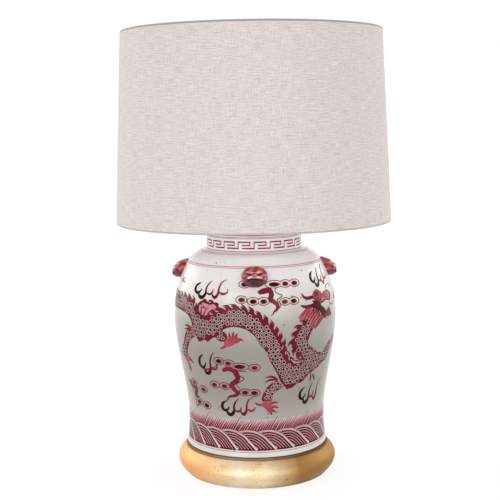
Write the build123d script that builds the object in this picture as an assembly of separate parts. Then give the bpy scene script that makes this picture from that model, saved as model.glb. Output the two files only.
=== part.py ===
from build123d import *
import math
import os

# Jar table lamp, in millimetres. The origin is the centre of the underside, on the table top.
# +Z is up, -Y faces the front and +X is to the right of someone who looks at the front.

# Clearances that several fits share
running_gap = 0.08       # round a shaft or tube that turns or slides
face_gap = 0.1           # between flat faces of pieces that move apart
press_gap = 0.05         # round a piece that is pushed home and stays
seat_gap = 0.2           # round a thin piece that lies loosely in its place
cutter_overrun = 1.0     # how far a cutting shape runs past the face it cuts
curve_samples = 200      # points tried along a curve to find a place on it
search_halvings = 40

# Turned base
base_height = 42.6       # table top to the rim
base_foot_radius = 108.0
base_widest_radius = 118.6
base_widest_height = 24.0
base_rim_radius = 107.4
base_foot_flare = 1.1    # how far the side runs out for each millimetre of rise at the foot
base_rim_flare = 1.2     # and back in at the rim
base_edge_round = 1.6
seat_rise = 3.0          # the step under the jar's foot stands this far above the rim
seat_margin = 0.4        # and this far outside the foot
felt_thickness = 1.5
felt_margin = 6.0        # bare rim left round the felt
recess_radius = 20.0     # round hollow under the base for the washer and nut
recess_depth = 16.0
channel_radius = 5.0     # cord channel from the recess to the back
channel_height = 10.0    # channel axis above the table
bushing_bore_radius = 3.5
bushing_flange_radius = 7.0
bushing_flange_thickness = 2.0
bushing_length = 14.0
bushing_inset = 2.0      # depth of the flat cut for the flange

# Threaded tube through the lamp, and what it holds
rod_radius = 4.9
rod_bore_radius = 3.2
rod_end_below_nut = 3.0
rod_hole_gap = 0.7       # round the rod, in the wood and in the jar's floor
base_washer_radius = 16.0
base_washer_thickness = 1.6
nut_across_flats = 16.0
nut_thickness = 4.8

# Jar: radius at each height above its foot
foot_radius = 105.0
foot_round = 1.5
foot_ring_width = 8.0
foot_ring_height = 4.0
foot_gasket_thickness = 0.6
waist_radius = 101.6
waist_height = 44.0
lower_flank_radius = 109.3
lower_flank_height = 106.0
upper_flank_radius = 118.7
upper_flank_height = 161.0
belly_radius = 120.7
belly_height = 198.0
shoulder_start_radius = 115.9
shoulder_start_height = 234.0
shoulder_radius = 105.0
shoulder_height = 265.0
shoulder_top_radius = 96.0
shoulder_top_height = 279.0
shoulder_end_radius = 84.0
shoulder_end_height = 288.0
neck_root_height = 291.4
neck_radius = 70.5
neck_root_round = 2.0
mouth_height = 326.8     # foot to mouth
jar_wall = 6.0
jar_floor = 9.0

# Four lion masks round the shoulder
mask_count = 4
mask_height = 262.0      # mask centre above the foot
mask_head_radius = 15.0
mask_muzzle_radius = 7.0
mask_muzzle_reach = 9.5  # muzzle centre in front of the jar wall
mask_ear_radius = 4.8
mask_ear_spread = 12.0
mask_ear_rise = 9.5
mask_cheek_radius = 5.2
mask_cheek_spread = 13.5
mask_jaw_radius = 9.0
mask_jaw_thickness = 5.0
mask_jaw_tilt = 38.0     # degrees, the jaw's face looks down and out
mask_jaw_reach = 6.5
mask_jaw_drop = 6.0

# Cap on the mouth, ring and neck tube
mouth_gasket_thickness = 0.8
cap_sheet = 1.2
cap_skirt_depth = 6.8    # skirt below the mouth
cap_flat_width = 10.0    # flat rim that rests on the mouth
cap_crown_rise = 4.0
cap_crown_radius = 18.0
check_ring_radius = 11.0
check_ring_thickness = 2.0
neck_tube_radius = 9.0
neck_tube_waist = 7.4
neck_tube_height = 8.0

# Harp, its saddle and its ferrules
saddle_thickness = 2.0
saddle_rim = 1.1         # beside the rod's hole, at the least
saddle_ear_height = 10.0
harp_wire_radius = 2.0
harp_leg_spacing = 63.5
harp_width = 120.0       # widest, between wire centres
harp_height = 254.0      # saddle's underside to the shade seat
harp_lap = 6.0           # half-and-half joint of each leg with its post
harp_post_height = 10.0
harp_straight = 40.0     # straight leg above its foot
harp_flare_rise = 45.0
harp_side_rise = 55.0
harp_top_width = 36.0
harp_bend_radius = 60.0
harp_side_bend_radius = 120.0
harp_top_bend_radius = 18.0
harp_eye_radius = 7.0
harp_eye_thickness = 4.6
ferrule_radius = 3.5
ferrule_length = 14.0

# Stud, shade fitter and finial
stud_shank_radius = 2.6
stud_thread_radius = 3.1
stud_head_radius = 5.0
stud_head_thickness = 1.5
stud_flange_radius = 6.0
stud_flange_thickness = 1.0
stud_length = 14.0
fitter_washer_radius = 13.0
fitter_washer_thickness = 1.6
fitter_hole_gap = 0.25
arm_count = 3
arm_radius = 1.6
arm_first_angle = 90.0   # one arm points to the back
arm_bend_share = 0.82    # where the arm turns up, along its reach
finial_collar_radius = 6.5
finial_collar_height = 7.0
finial_bore_gap = 0.15
finial_ball_radius = 9.0
finial_neck_radius = 4.6

# Shade
shade_bottom_radius = 203.2
shade_top_radius = 190.5
shade_height = 279.0
shade_drop = 12.0        # fitter washer below the shade's top edge
cover_thickness = 0.8
liner_thickness = 1.0
shade_wire_radius = 1.5
hem_tuck = 7.0           # cover turned in past the wire

# Lamp holder
holder_collar_radius = 7.0
holder_collar_height = 8.0
holder_cap_rise = 9.0
holder_cap_lip = 6.0
holder_shell_radius = 17.0
holder_sheet = 0.6
holder_shell_height = 43.0
sleeve_wall = 0.8
sleeve_top_margin = 3.0
insulator_height = 17.0
insulator_flat = 12.0    # flat for the terminals, from the axis
terminal_head_radius = 3.0
terminal_head_height = 2.2
terminal_shank_radius = 1.5
terminal_shank_length = 5.0
screw_shell_radius = 13.35
screw_shell_wall = 0.5
screw_shell_height = 22.0
contact_radius = 4.0
contact_height = 1.8

# Rotary switch on the lamp holder, facing the front
switch_height = 8.0      # shaft axis above the insulator's foot
switch_shaft_radius = 2.0
switch_shaft_reach = 24.0
switch_cam_side = 6.0
switch_cam_length = 5.0
switch_cam_start = 2.0
switch_slot_width = 6.0
switch_knob_radius = 6.0
switch_knob_length = 14.0
switch_knob_bite = 4.0   # shaft length inside the knob
switch_knob_flutes = 12
switch_flute_start = 3.0  # from the knob's back
switch_flute_radius = 0.8

# Bulb, overall height from its tip
bulb_height = 109.0
bulb_radius = 30.0
bulb_neck_radius = 12.6
bulb_glass_wall = 1.0
bulb_cap_radius = 13.1
bulb_cap_wall = 0.4
bulb_cap_height = 22.0
bulb_tip_radius = 4.5
bulb_tip_height = 2.0
bulb_collar_height = 4.0

# Sizes and heights above the table, built up from the sizes above
rod_hole_radius = rod_radius + rod_hole_gap
saddle_width = 2 * (rod_radius + saddle_rim)
rim_z = base_height
seat_z = base_height + seat_rise
recess_top_z = felt_thickness + recess_depth
base_washer_z = recess_top_z - base_washer_thickness
base_nut_z = base_washer_z - nut_thickness
rod_bottom_z = base_nut_z - rod_end_below_nut
foot_z = seat_z + foot_gasket_thickness
mouth_z = foot_z + mouth_height
cap_rest_z = mouth_z + mouth_gasket_thickness
cap_top_z = cap_rest_z + cap_crown_rise + cap_sheet
neck_tube_z = cap_top_z + check_ring_thickness
saddle_z = neck_tube_z + neck_tube_height
saddle_top_z = saddle_z + saddle_thickness
rod_top_z = saddle_top_z + holder_collar_height - 0.5
harp_seat_z = saddle_z + harp_height
washer_z = harp_seat_z + face_gap + stud_flange_thickness + face_gap
shade_top_z = washer_z + shade_drop
shade_bottom_z = shade_top_z - shade_height
holder_cap_z = saddle_top_z + holder_collar_height
holder_shell_z = holder_cap_z + holder_cap_rise + seat_gap
insulator_z = holder_shell_z + 2.5
screw_shell_z = insulator_z + insulator_height
switch_z = insulator_z + switch_height
bulb_tip_z = screw_shell_z + contact_height + seat_gap

os.makedirs("parts", exist_ok=True)


def at(radius, height):
    # A point of a turned outline
    return (radius, 0, height)


def turned(corners):
    # A solid of revolution from a closed outline of (radius, height) corners
    outline = Polyline(*[at(r, z) for r, z in corners], close=True)
    return revolve(make_face(outline), Axis.Z)


def turned_from(edges):
    # The same from lines and curves laid end to end
    return revolve(make_face(edges), Axis.Z)


def tube(outer, inner, bottom, top):
    return turned([(inner, bottom), (outer, bottom), (outer, top), (inner, top)])


def rod_along_y(radius, start_y, end_y, height):
    # A round bar along Y at the given height
    middle = (start_y + end_y) / 2
    turn = Rotation(90, 0, 0)
    return Pos(0, middle, height) * turn * Cylinder(radius, abs(end_y - start_y))


def wire_ring(ring_radius, height):
    return Pos(0, 0, height) * Torus(ring_radius, shade_wire_radius)


def shade_radius(height):
    # Outside radius of the shade at a height
    share = (height - shade_bottom_z) / shade_height
    return shade_bottom_radius + (shade_top_radius - shade_bottom_radius) * share


def jar_outline():
    # Radius and height of the jar's outside from waist to shoulder, foot and neck root included
    shape = [
        (foot_radius, foot_round),
        (waist_radius, waist_height),
        (lower_flank_radius, lower_flank_height),
        (upper_flank_radius, upper_flank_height),
        (belly_radius, belly_height),
        (shoulder_start_radius, shoulder_start_height),
        (shoulder_radius, shoulder_height),
        (shoulder_top_radius, shoulder_top_height),
        (shoulder_end_radius, shoulder_end_height),
        (neck_radius + neck_root_round, neck_root_height),
    ]
    return [(radius, foot_z + height) for radius, height in shape]


def inset(points, wall):
    # The inner points of an outline, moved square to it by the wall
    moved = []
    for before, here, after in zip(points, points[1:], points[2:]):
        run = after[0] - before[0]
        rise = after[1] - before[1]
        length = math.hypot(run, rise)
        moved.append((here[0] - wall * rise / length, here[1] + wall * run / length))
    return moved


def outside_curve():
    return Spline(*[at(r, z) for r, z in jar_outline()])


def jar_radius(height):
    # Outside radius of the jar at a height on its shoulder
    curve = outside_curve()
    low, high = 0.0, 1.0
    for halving in range(search_halvings):
        middle = (low + high) / 2
        if (curve @ middle).Z < height:
            low = middle
        else:
            high = middle
    return (curve @ low).X


def corner_round(start, end, centre):
    # A quarter round from one (radius, height) point to another, about a centre
    size = math.dist(start, centre)
    out_r = (start[0] + end[0]) / 2 - centre[0]
    out_z = (start[1] + end[1]) / 2 - centre[1]
    share = size / math.hypot(out_r, out_z)
    middle = (centre[0] + out_r * share, centre[1] + out_z * share)
    return ThreePointArc(at(*start), at(*middle), at(*end))


def jar_skin_edges():
    # Foot edge, swelling wall, neck root and straight neck, from the foot to the mouth
    root_z = foot_z + neck_root_height
    root_start = (neck_radius + neck_root_round, root_z)
    root_end = (neck_radius, root_z + neck_root_round)
    foot_start = (foot_radius - foot_round, foot_z)
    foot_end = (foot_radius, foot_z + foot_round)
    foot_edge = corner_round(foot_start, foot_end, (foot_start[0], foot_end[1]))
    root = corner_round(root_start, root_end, (root_start[0], root_end[1]))
    neck = Line(at(*root_end), at(neck_radius, mouth_z))
    return [foot_edge, outside_curve(), root, neck]


def jar_fill():
    # The jar's outside as a full solid, to trim what is stuck to its wall
    closing = Polyline(
        at(neck_radius, mouth_z), at(0, mouth_z), at(0, foot_z), at(foot_radius - foot_round, foot_z)
    )
    return turned_from(jar_skin_edges() + [closing])


def jar_body():
    outline = jar_outline()
    inside = inset(outline, jar_wall)[:-1]
    floor_z = foot_z + foot_ring_height + jar_floor
    throat = neck_radius - jar_wall
    inside[0] = (inside[0][0], max(inside[0][1], floor_z + jar_wall))
    throat_z = inside[-1][1] + jar_wall / 2
    top = Polyline(at(neck_radius, mouth_z), at(throat, mouth_z), at(throat, throat_z), at(*inside[-1]))
    hollow = Spline(*[at(r, z) for r, z in reversed(inside)])
    ring_inner = foot_radius - foot_round - foot_ring_width
    bottom = Polyline(
        at(*inside[0]),
        at(inside[0][0], floor_z),
        at(rod_hole_radius, floor_z),
        at(rod_hole_radius, foot_z + foot_ring_height),
        at(ring_inner, foot_z + foot_ring_height),
        at(ring_inner, foot_z),
        at(foot_radius - foot_round, foot_z),
    )
    return turned_from(jar_skin_edges() + [top, hollow, bottom])


def base_side():
    # The turned side, from the bottom edge's round to the rim's round
    return Spline(
        at(base_foot_radius, felt_thickness + base_edge_round),
        at(base_widest_radius, base_widest_height),
        at(base_rim_radius, rim_z - rim_round()),
        tangents=[at(base_foot_flare, 1), at(-base_rim_flare, 1)],
    )


def rim_round():
    # The rim's round leaves a little flat before the step
    return min(base_edge_round, (base_rim_radius - foot_radius - seat_margin) * 0.8)


def gilded_base():
    low = felt_thickness
    seat_radius = foot_radius + seat_margin
    foot_flat = (base_foot_radius - base_edge_round, low)
    foot_side = (base_foot_radius, low + base_edge_round)
    rim_side = (base_rim_radius, rim_z - rim_round())
    rim_flat = (base_rim_radius - rim_round(), rim_z)
    foot_edge = corner_round(foot_flat, foot_side, (foot_flat[0], foot_side[1]))
    rim_edge = corner_round(rim_side, rim_flat, (rim_flat[0], rim_side[1]))
    rest = Polyline(
        at(*rim_flat),
        at(seat_radius, rim_z),
        at(seat_radius, seat_z),
        at(rod_hole_radius, seat_z),
        at(rod_hole_radius, low),
        at(*foot_flat),
    )
    body = turned_from([foot_edge, base_side(), rim_edge, rest])
    recess = Pos(0, 0, (low + recess_top_z) / 2) * Cylinder(recess_radius, recess_depth)
    flat_y = back_of_base(channel_height) - bushing_inset
    channel = rod_along_y(channel_radius, 0, flat_y + cutter_overrun, channel_height)
    outside = base_widest_radius + cutter_overrun
    spot = rod_along_y(bushing_flange_radius + seat_gap, flat_y, outside, channel_height)
    return body - recess - channel - spot


def back_of_base(height):
    # How far the turned side stands out at a height
    side = base_side()
    points = [side @ (number / curve_samples) for number in range(curve_samples + 1)]
    return min(points, key=lambda point: abs(point.Z - height)).X


def cord_bushing():
    flat_y = back_of_base(channel_height) - bushing_inset
    barrel_end = flat_y + bushing_flange_thickness - bushing_length
    flange = rod_along_y(bushing_flange_radius, flat_y, flat_y + bushing_flange_thickness, channel_height)
    barrel = rod_along_y(channel_radius - press_gap, barrel_end, flat_y + 0.5, channel_height)
    bore_start = barrel_end - cutter_overrun
    bore_end = flat_y + bushing_flange_thickness + cutter_overrun
    bore = rod_along_y(bushing_bore_radius, bore_start, bore_end, channel_height)
    rim = flange.edges().filter_by(GeomType.CIRCLE).sort_by(Axis.Y)[-1]
    return fillet(rim, 0.8) + barrel - bore


def felt_pad():
    radius = base_foot_radius - felt_margin
    return Pos(0, 0, felt_thickness / 2) * Cylinder(radius, felt_thickness)


def base_locknut():
    hexagon = RegularPolygon(nut_across_flats / 2, 6, major_radius=False)
    nut = Pos(0, 0, base_nut_z) * extrude(hexagon, nut_thickness - face_gap)
    hole = Pos(0, 0, base_nut_z + nut_thickness / 2) * Cylinder(rod_radius + press_gap, nut_thickness * 2)
    return nut - hole


def foot_gasket():
    outer = foot_radius - foot_round - 1.0
    inner = outer - foot_ring_width + 2.0
    return tube(outer, inner, seat_z, foot_z)


def lion_mask(angle):
    # Head, muzzle, ears, cheeks and open jaw, facing the front and then turned to its place
    height = foot_z + mask_height
    wall = jar_radius(height)
    head = Pos(0, -wall, height) * Sphere(mask_head_radius)
    muzzle = Pos(0, -(wall + mask_muzzle_reach), height) * Sphere(mask_muzzle_radius)
    mask = head + muzzle
    for side in (-1, 1):
        ear_place = Pos(side * mask_ear_spread, -(wall + 3.0), height + mask_ear_rise)
        cheek_place = Pos(side * mask_cheek_spread, -(wall + 3.0), height)
        mask += ear_place * Sphere(mask_ear_radius)
        mask += cheek_place * Sphere(mask_cheek_radius)
    jaw_place = Pos(0, -(wall + mask_jaw_reach), height - mask_jaw_drop)
    jaw_turn = Rotation(90 + mask_jaw_tilt, 0, 0)
    mask += jaw_place * jaw_turn * Cylinder(mask_jaw_radius, mask_jaw_thickness)
    return Rotation(0, 0, angle) * (mask - jar_fill())


def vase_cap():
    skirt_in = neck_radius + 0.6
    skirt_out = skirt_in + cap_sheet
    flat_in = neck_radius - cap_flat_width
    hole = rod_radius + seat_gap
    top = cap_rest_z + cap_sheet
    return turned([
        (skirt_in, mouth_z - cap_skirt_depth),
        (skirt_out, mouth_z - cap_skirt_depth),
        (skirt_out, top - 0.8),
        (skirt_out - 0.8, top),
        (flat_in, top),
        (cap_crown_radius, cap_top_z),
        (hole, cap_top_z),
        (hole, cap_top_z - cap_sheet),
        (cap_crown_radius, cap_top_z - cap_sheet),
        (flat_in, cap_rest_z),
        (skirt_in, cap_rest_z),
    ])


def check_ring():
    ring = tube(check_ring_radius, rod_radius + seat_gap, cap_top_z, neck_tube_z)
    outer = ring.edges().filter_by(GeomType.CIRCLE).sort_by(SortBy.RADIUS)[-2:]
    return fillet(outer, check_ring_thickness * 0.4)


def neck_tube():
    middle = neck_tube_z + neck_tube_height / 2
    hole = rod_radius + seat_gap
    side = ThreePointArc(
        at(neck_tube_radius, neck_tube_z), at(neck_tube_waist, middle), at(neck_tube_radius, saddle_z)
    )
    rest = Polyline(
        at(neck_tube_radius, saddle_z),
        at(hole, saddle_z),
        at(hole, neck_tube_z),
        at(neck_tube_radius, neck_tube_z),
    )
    return turned_from([side, rest])


def leg_x():
    return harp_leg_spacing / 2


def ear_top_z():
    return saddle_z + saddle_ear_height


def lap_bottom_z():
    return ear_top_z() + harp_post_height - harp_lap


def lap_half(side, bottom, top, inner):
    # A block that covers the inner or the outer half of a leg
    reach = harp_wire_radius * 2
    inwards = -side if inner else side
    centre_x = side * leg_x() + inwards * (reach / 2 - face_gap / 2)
    return Pos(centre_x, 0, (bottom + top) / 2) * Box(reach, reach * 2, top - bottom)


def harp_saddle():
    half = leg_x() + saddle_thickness / 2
    strip = Pos(0, 0, saddle_z + saddle_thickness / 2) * Box(2 * half, saddle_width, saddle_thickness)
    strip -= Pos(0, 0, saddle_z) * Cylinder(rod_radius + seat_gap, saddle_thickness * 4)
    post_top = ear_top_z() + harp_post_height
    for side in (-1, 1):
        ear_place = Pos(side * leg_x(), 0, saddle_z + saddle_ear_height / 2)
        strip += ear_place * Box(saddle_thickness, saddle_width, saddle_ear_height)
        post_place = Pos(side * leg_x(), 0, (saddle_top_z + post_top) / 2)
        post = post_place * Cylinder(harp_wire_radius, post_top - saddle_top_z)
        strip += post - lap_half(side, lap_bottom_z(), post_top + 1, inner=False)
    return strip


def harp():
    wire_z = harp_seat_z - harp_eye_thickness / 2
    foot = lap_bottom_z() + face_gap
    flare = foot + harp_straight
    side = flare + harp_flare_rise
    high = side + harp_side_rise
    right = [
        (leg_x(), foot),
        (leg_x(), flare),
        (harp_width / 2, side),
        (harp_width / 2, high),
        (harp_top_width / 2, wire_z),
    ]
    left = [(-x, z) for x, z in reversed(right)]
    bends = [harp_bend_radius, harp_bend_radius, harp_side_bend_radius, harp_top_bend_radius]
    path = FilletPolyline(*[(x, 0, z) for x, z in right + left], radius=bends + bends[::-1])
    section = Plane((leg_x(), 0, foot), z_dir=(0, 0, 1)) * Circle(harp_wire_radius)
    loop = sweep(section, path=path)
    joint_top = foot + harp_lap
    for side_sign in (-1, 1):
        loop -= lap_half(side_sign, foot - 1, joint_top, inner=True)
    eye = Pos(0, 0, wire_z) * Cylinder(harp_eye_radius, harp_eye_thickness)
    hole = Pos(0, 0, wire_z) * Cylinder(stud_shank_radius + running_gap, harp_eye_thickness * 3)
    return loop + eye - hole


def harp_ferrule(side):
    bottom = ear_top_z() + face_gap
    place = Pos(side * leg_x(), 0, bottom + ferrule_length / 2)
    outer = Cylinder(ferrule_radius, ferrule_length)
    ends = outer.edges().filter_by(GeomType.CIRCLE)
    bore = Cylinder(harp_wire_radius + running_gap, ferrule_length * 2)
    return place * (fillet(ends, 0.5) - bore)


def harp_stud():
    eye_bottom = harp_seat_z - harp_eye_thickness
    flange_z = harp_seat_z + face_gap
    head_z = eye_bottom - face_gap - stud_head_thickness
    return turned([
        (0, head_z),
        (stud_head_radius, head_z),
        (stud_head_radius, eye_bottom - face_gap),
        (stud_shank_radius, eye_bottom - face_gap),
        (stud_shank_radius, flange_z),
        (stud_flange_radius, flange_z),
        (stud_flange_radius, flange_z + stud_flange_thickness),
        (stud_thread_radius, flange_z + stud_flange_thickness),
        (stud_thread_radius, washer_z + stud_length - 0.8),
        (stud_thread_radius - 0.8, washer_z + stud_length),
        (0, washer_z + stud_length),
    ])


def fitter_washer():
    hole = stud_thread_radius + fitter_hole_gap
    washer = tube(fitter_washer_radius, hole, washer_z, washer_z + fitter_washer_thickness)
    rims = washer.edges().filter_by(GeomType.CIRCLE).sort_by(SortBy.RADIUS)[-2:]
    return fillet(rims, 0.4)


def wire_inset():
    # Shade wire centre inside the shade's outside
    return cover_thickness + seat_gap + shade_wire_radius


def hem_height():
    # Wire centre from the shade's edge
    return cover_thickness + seat_gap + shade_wire_radius


def top_ring_z():
    return shade_top_z - hem_height()


def top_ring_radius():
    return shade_radius(top_ring_z()) - wire_inset()


def arm_wire(number, radius, start, end):
    # A wire from the washer out to the top ring, level at first and then rising to it
    start_z = washer_z + fitter_washer_thickness / 2
    bend = start + (end - start) * arm_bend_share
    path = FilletPolyline((start, 0, start_z), (bend, 0, start_z), (end, 0, top_ring_z()), radius=20)
    section = Plane((start, 0, start_z), z_dir=(1, 0, 0)) * Circle(radius)
    arm = sweep(section, path=path)
    return Rotation(0, 0, arm_first_angle + number * 360 / arm_count) * arm


def spider_arm(number):
    start = fitter_washer_radius + press_gap
    end = top_ring_radius() - shade_wire_radius - press_gap
    return arm_wire(number, arm_radius, start, end)


def shade_cover():
    # The wall and, at both edges, the cover rolled over its wire and tucked in behind
    low_z = shade_bottom_z + hem_height()
    high_z = shade_top_z - hem_height()
    wall = turned([
        (shade_radius(low_z), low_z),
        (shade_radius(high_z), high_z),
        (shade_radius(high_z) - cover_thickness, high_z),
        (shade_radius(low_z) - cover_thickness, low_z),
    ])
    cover = wall + rolled_edge(low_z, -1) + rolled_edge(high_z, 1)
    start = fitter_washer_radius
    end = top_ring_radius() - shade_wire_radius - press_gap
    for number in range(arm_count):
        cover -= arm_wire(number, arm_radius + seat_gap, start, end)
    return cover


def rolled_edge(wire_z, way):
    # Half a tube round the wire and a strip behind it. way is -1 at the bottom edge, 1 at the top
    hole = shade_wire_radius + seat_gap
    roll = hole + cover_thickness
    centre = shade_radius(wire_z) - roll
    straight_z = wire_z - way * hole
    back_z = wire_z - way * hem_tuck
    back_r = shade_radius(back_z) - 2 * cover_thickness - liner_thickness - 2 * press_gap
    outer_arc = ThreePointArc(
        at(centre + roll, wire_z), at(centre, wire_z + way * roll), at(centre - roll, wire_z)
    )
    inner_arc = ThreePointArc(
        at(centre - hole, wire_z), at(centre, wire_z + way * hole), at(centre + hole, wire_z)
    )
    strip = Polyline(
        at(centre - roll, wire_z),
        at(centre - roll, straight_z),
        at(back_r, back_z),
        at(back_r + cover_thickness, back_z),
        at(centre - hole, straight_z),
        at(centre - hole, wire_z),
    )
    lip = Line(at(centre + hole, wire_z), at(centre + roll, wire_z))
    return turned_from([outer_arc, strip, inner_arc, lip])


def shade_liner():
    low_z = shade_bottom_z + hem_height() + shade_wire_radius + seat_gap
    high_z = shade_top_z - hem_height() - shade_wire_radius - seat_gap
    skin = cover_thickness + press_gap
    return turned([
        (shade_radius(low_z) - skin, low_z),
        (shade_radius(high_z) - skin, high_z),
        (shade_radius(high_z) - skin - liner_thickness, high_z),
        (shade_radius(low_z) - skin - liner_thickness, low_z),
    ])


def finial_collar():
    bore = stud_thread_radius + finial_bore_gap
    bottom = washer_z + fitter_washer_thickness + face_gap
    collar = tube(finial_collar_radius, bore, bottom, bottom + finial_collar_height)
    rims = collar.edges().filter_by(GeomType.CIRCLE).sort_by(SortBy.RADIUS)[-2:]
    return fillet(rims, 0.8)


def finial_ball():
    bore = stud_thread_radius + finial_bore_gap
    collar_top = washer_z + fitter_washer_thickness + face_gap + finial_collar_height
    centre_z = collar_top + 1.0 + finial_ball_radius
    ball = Pos(0, 0, centre_z) * Sphere(finial_ball_radius)
    neck = Pos(0, 0, collar_top + 1.5) * Cylinder(finial_neck_radius, 3.0)
    socket_top = washer_z + stud_length + 1.5
    pocket = Pos(0, 0, (collar_top + socket_top) / 2) * Cylinder(bore, socket_top - collar_top + 0.01)
    return ball + neck - pocket


def holder_cap():
    hole = rod_radius + press_gap
    lip_in = holder_shell_radius + press_gap
    lip_out = lip_in + holder_sheet
    lip_z = holder_cap_z + holder_cap_rise
    return turned([
        (hole, saddle_top_z),
        (holder_collar_radius, saddle_top_z),
        (holder_collar_radius, holder_cap_z),
        (lip_out, lip_z),
        (lip_out, lip_z + holder_cap_lip),
        (lip_in, lip_z + holder_cap_lip),
        (lip_in, lip_z),
        (holder_collar_radius + 0.3, holder_cap_z + holder_sheet),
        (hole, holder_cap_z + holder_sheet),
    ])


def shaft_slot(bottom):
    # Slot in the front of a sleeve, open at the bottom and round at the switch shaft
    half = switch_slot_width / 2
    reach = holder_shell_radius + 10
    block = Pos(0, -reach / 2, (bottom + switch_z) / 2) * Box(2 * half, reach, switch_z - bottom)
    return block + rod_along_y(half, -reach, 0, switch_z)


def holder_shell():
    inner = holder_shell_radius - holder_sheet
    top = holder_shell_z + holder_shell_height
    shell = tube(holder_shell_radius, inner, holder_shell_z, top)
    bead = Pos(0, 0, top) * Torus(holder_shell_radius - holder_sheet / 2, holder_sheet)
    return shell + bead - shaft_slot(holder_shell_z - 1)


def insulating_sleeve():
    outer = holder_shell_radius - holder_sheet - seat_gap
    bottom = holder_shell_z + 0.5
    top = holder_shell_z + holder_shell_height - sleeve_top_margin
    return tube(outer, outer - sleeve_wall, bottom, top) - shaft_slot(bottom - 1)


def insulator_radius():
    return holder_shell_radius - holder_sheet - sleeve_wall - 2 * seat_gap


def holder_insulator():
    # Moulded body with flats for the terminals and a round hollow for the switch cam
    middle_z = insulator_z + insulator_height / 2
    body = Pos(0, 0, middle_z) * Cylinder(insulator_radius(), insulator_height)
    for side in (-1, 1):
        flat = Pos(side * (insulator_flat + 10), 0, middle_z - 2) * Box(20, 40, insulator_height - 4)
        body -= flat
        hole_place = Pos(side * insulator_flat, 0, switch_z) * Rotation(0, 90, 0)
        hole_length = 2 * terminal_shank_length + cutter_overrun
        body -= hole_place * Cylinder(terminal_shank_radius + press_gap, hole_length)
    cam_hollow = math.hypot(switch_cam_side, switch_cam_side) / 2 + seat_gap
    hollow_end = -(switch_cam_start + switch_cam_length + seat_gap)
    body -= rod_along_y(cam_hollow, hollow_end, -switch_cam_start + seat_gap, switch_z)
    body -= rod_along_y(switch_shaft_radius + running_gap, -40, -switch_cam_start, switch_z)
    return body


def terminal_screws():
    screws = []
    for side in (-1, 1):
        turn = Rotation(0, 90 * side, 0)
        head_x = side * (insulator_flat + press_gap + terminal_head_height / 2)
        shank_x = side * (insulator_flat + press_gap - terminal_shank_length / 2)
        head = Pos(head_x, 0, switch_z) * turn * Cylinder(terminal_head_radius, terminal_head_height)
        shank = Pos(shank_x, 0, switch_z) * turn * Cylinder(terminal_shank_radius, terminal_shank_length)
        slot_x = head_x + side * terminal_head_height / 2
        slot = Pos(slot_x, 0, switch_z) * Box(1.2, 0.8, 2 * terminal_head_radius + 1)
        screws.append(head + shank - slot)
    return Compound(children=screws)


def screw_shell():
    outer = screw_shell_radius + screw_shell_wall
    bottom = screw_shell_z + press_gap
    sleeve = tube(outer, screw_shell_radius, bottom, bottom + screw_shell_height)
    floor = tube(outer, contact_radius + 2, bottom, bottom + screw_shell_wall)
    return sleeve + floor


def centre_contact():
    height = contact_height
    return Pos(0, 0, screw_shell_z + press_gap + height / 2) * Cylinder(contact_radius, height)


def switch_shaft():
    # Square cam inside the holder and round shaft out to the knob
    cam_middle = -(switch_cam_start + switch_cam_length / 2)
    cam = Pos(0, cam_middle, switch_z) * Box(switch_cam_side, switch_cam_length, switch_cam_side)
    shaft_start = -(switch_cam_start + switch_cam_length - 1)
    return cam + rod_along_y(switch_shaft_radius, shaft_start, -switch_shaft_reach, switch_z)


def switch_knob():
    back = -(switch_shaft_reach - switch_knob_bite)
    front = back - switch_knob_length
    knob = rod_along_y(switch_knob_radius, back, front, switch_z)
    rim = knob.edges().filter_by(GeomType.CIRCLE).sort_by(Axis.Y)[0]
    knob = fillet(rim, 1.2)
    for number in range(switch_knob_flutes):
        angle = math.radians(number * 360 / switch_knob_flutes)
        x = switch_knob_radius * math.cos(angle)
        z = switch_z + switch_knob_radius * math.sin(angle)
        flute = rod_along_y(switch_flute_radius, back - switch_flute_start, front - cutter_overrun, z)
        knob -= Pos(x, 0, 0) * flute
    socket_end = -switch_shaft_reach - press_gap
    socket = rod_along_y(switch_shaft_radius + press_gap, back + cutter_overrun, socket_end, switch_z)
    return knob - socket


def bulb_cap():
    bottom = bulb_tip_z + bulb_tip_height + bulb_collar_height
    top = bottom + bulb_cap_height
    inner = bulb_cap_radius - bulb_cap_wall
    return turned([
        (bulb_cap_radius - 3, bottom),
        (bulb_cap_radius, bottom + 2),
        (bulb_cap_radius, top),
        (inner, top),
        (inner, bottom + 2 + bulb_cap_wall),
        (bulb_cap_radius - 3, bottom + bulb_cap_wall + 0.2),
    ])


def bulb_collar():
    # Glass-black insulating ring between the screw cap and the tip
    bottom = bulb_tip_z + bulb_tip_height
    top = bottom + bulb_collar_height
    return turned([
        (0, bottom),
        (bulb_tip_radius, bottom),
        (bulb_cap_radius - 3, top - press_gap),
        (0, top - press_gap),
    ])


def bulb_tip():
    bottom = bulb_tip_z
    top = bottom + bulb_tip_height - press_gap
    tip = Pos(0, 0, (bottom + top) / 2) * Cylinder(bulb_tip_radius, top - bottom)
    rim = tip.edges().filter_by(GeomType.CIRCLE).sort_by(Axis.Z)[0]
    return fillet(rim, 1.0)


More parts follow.
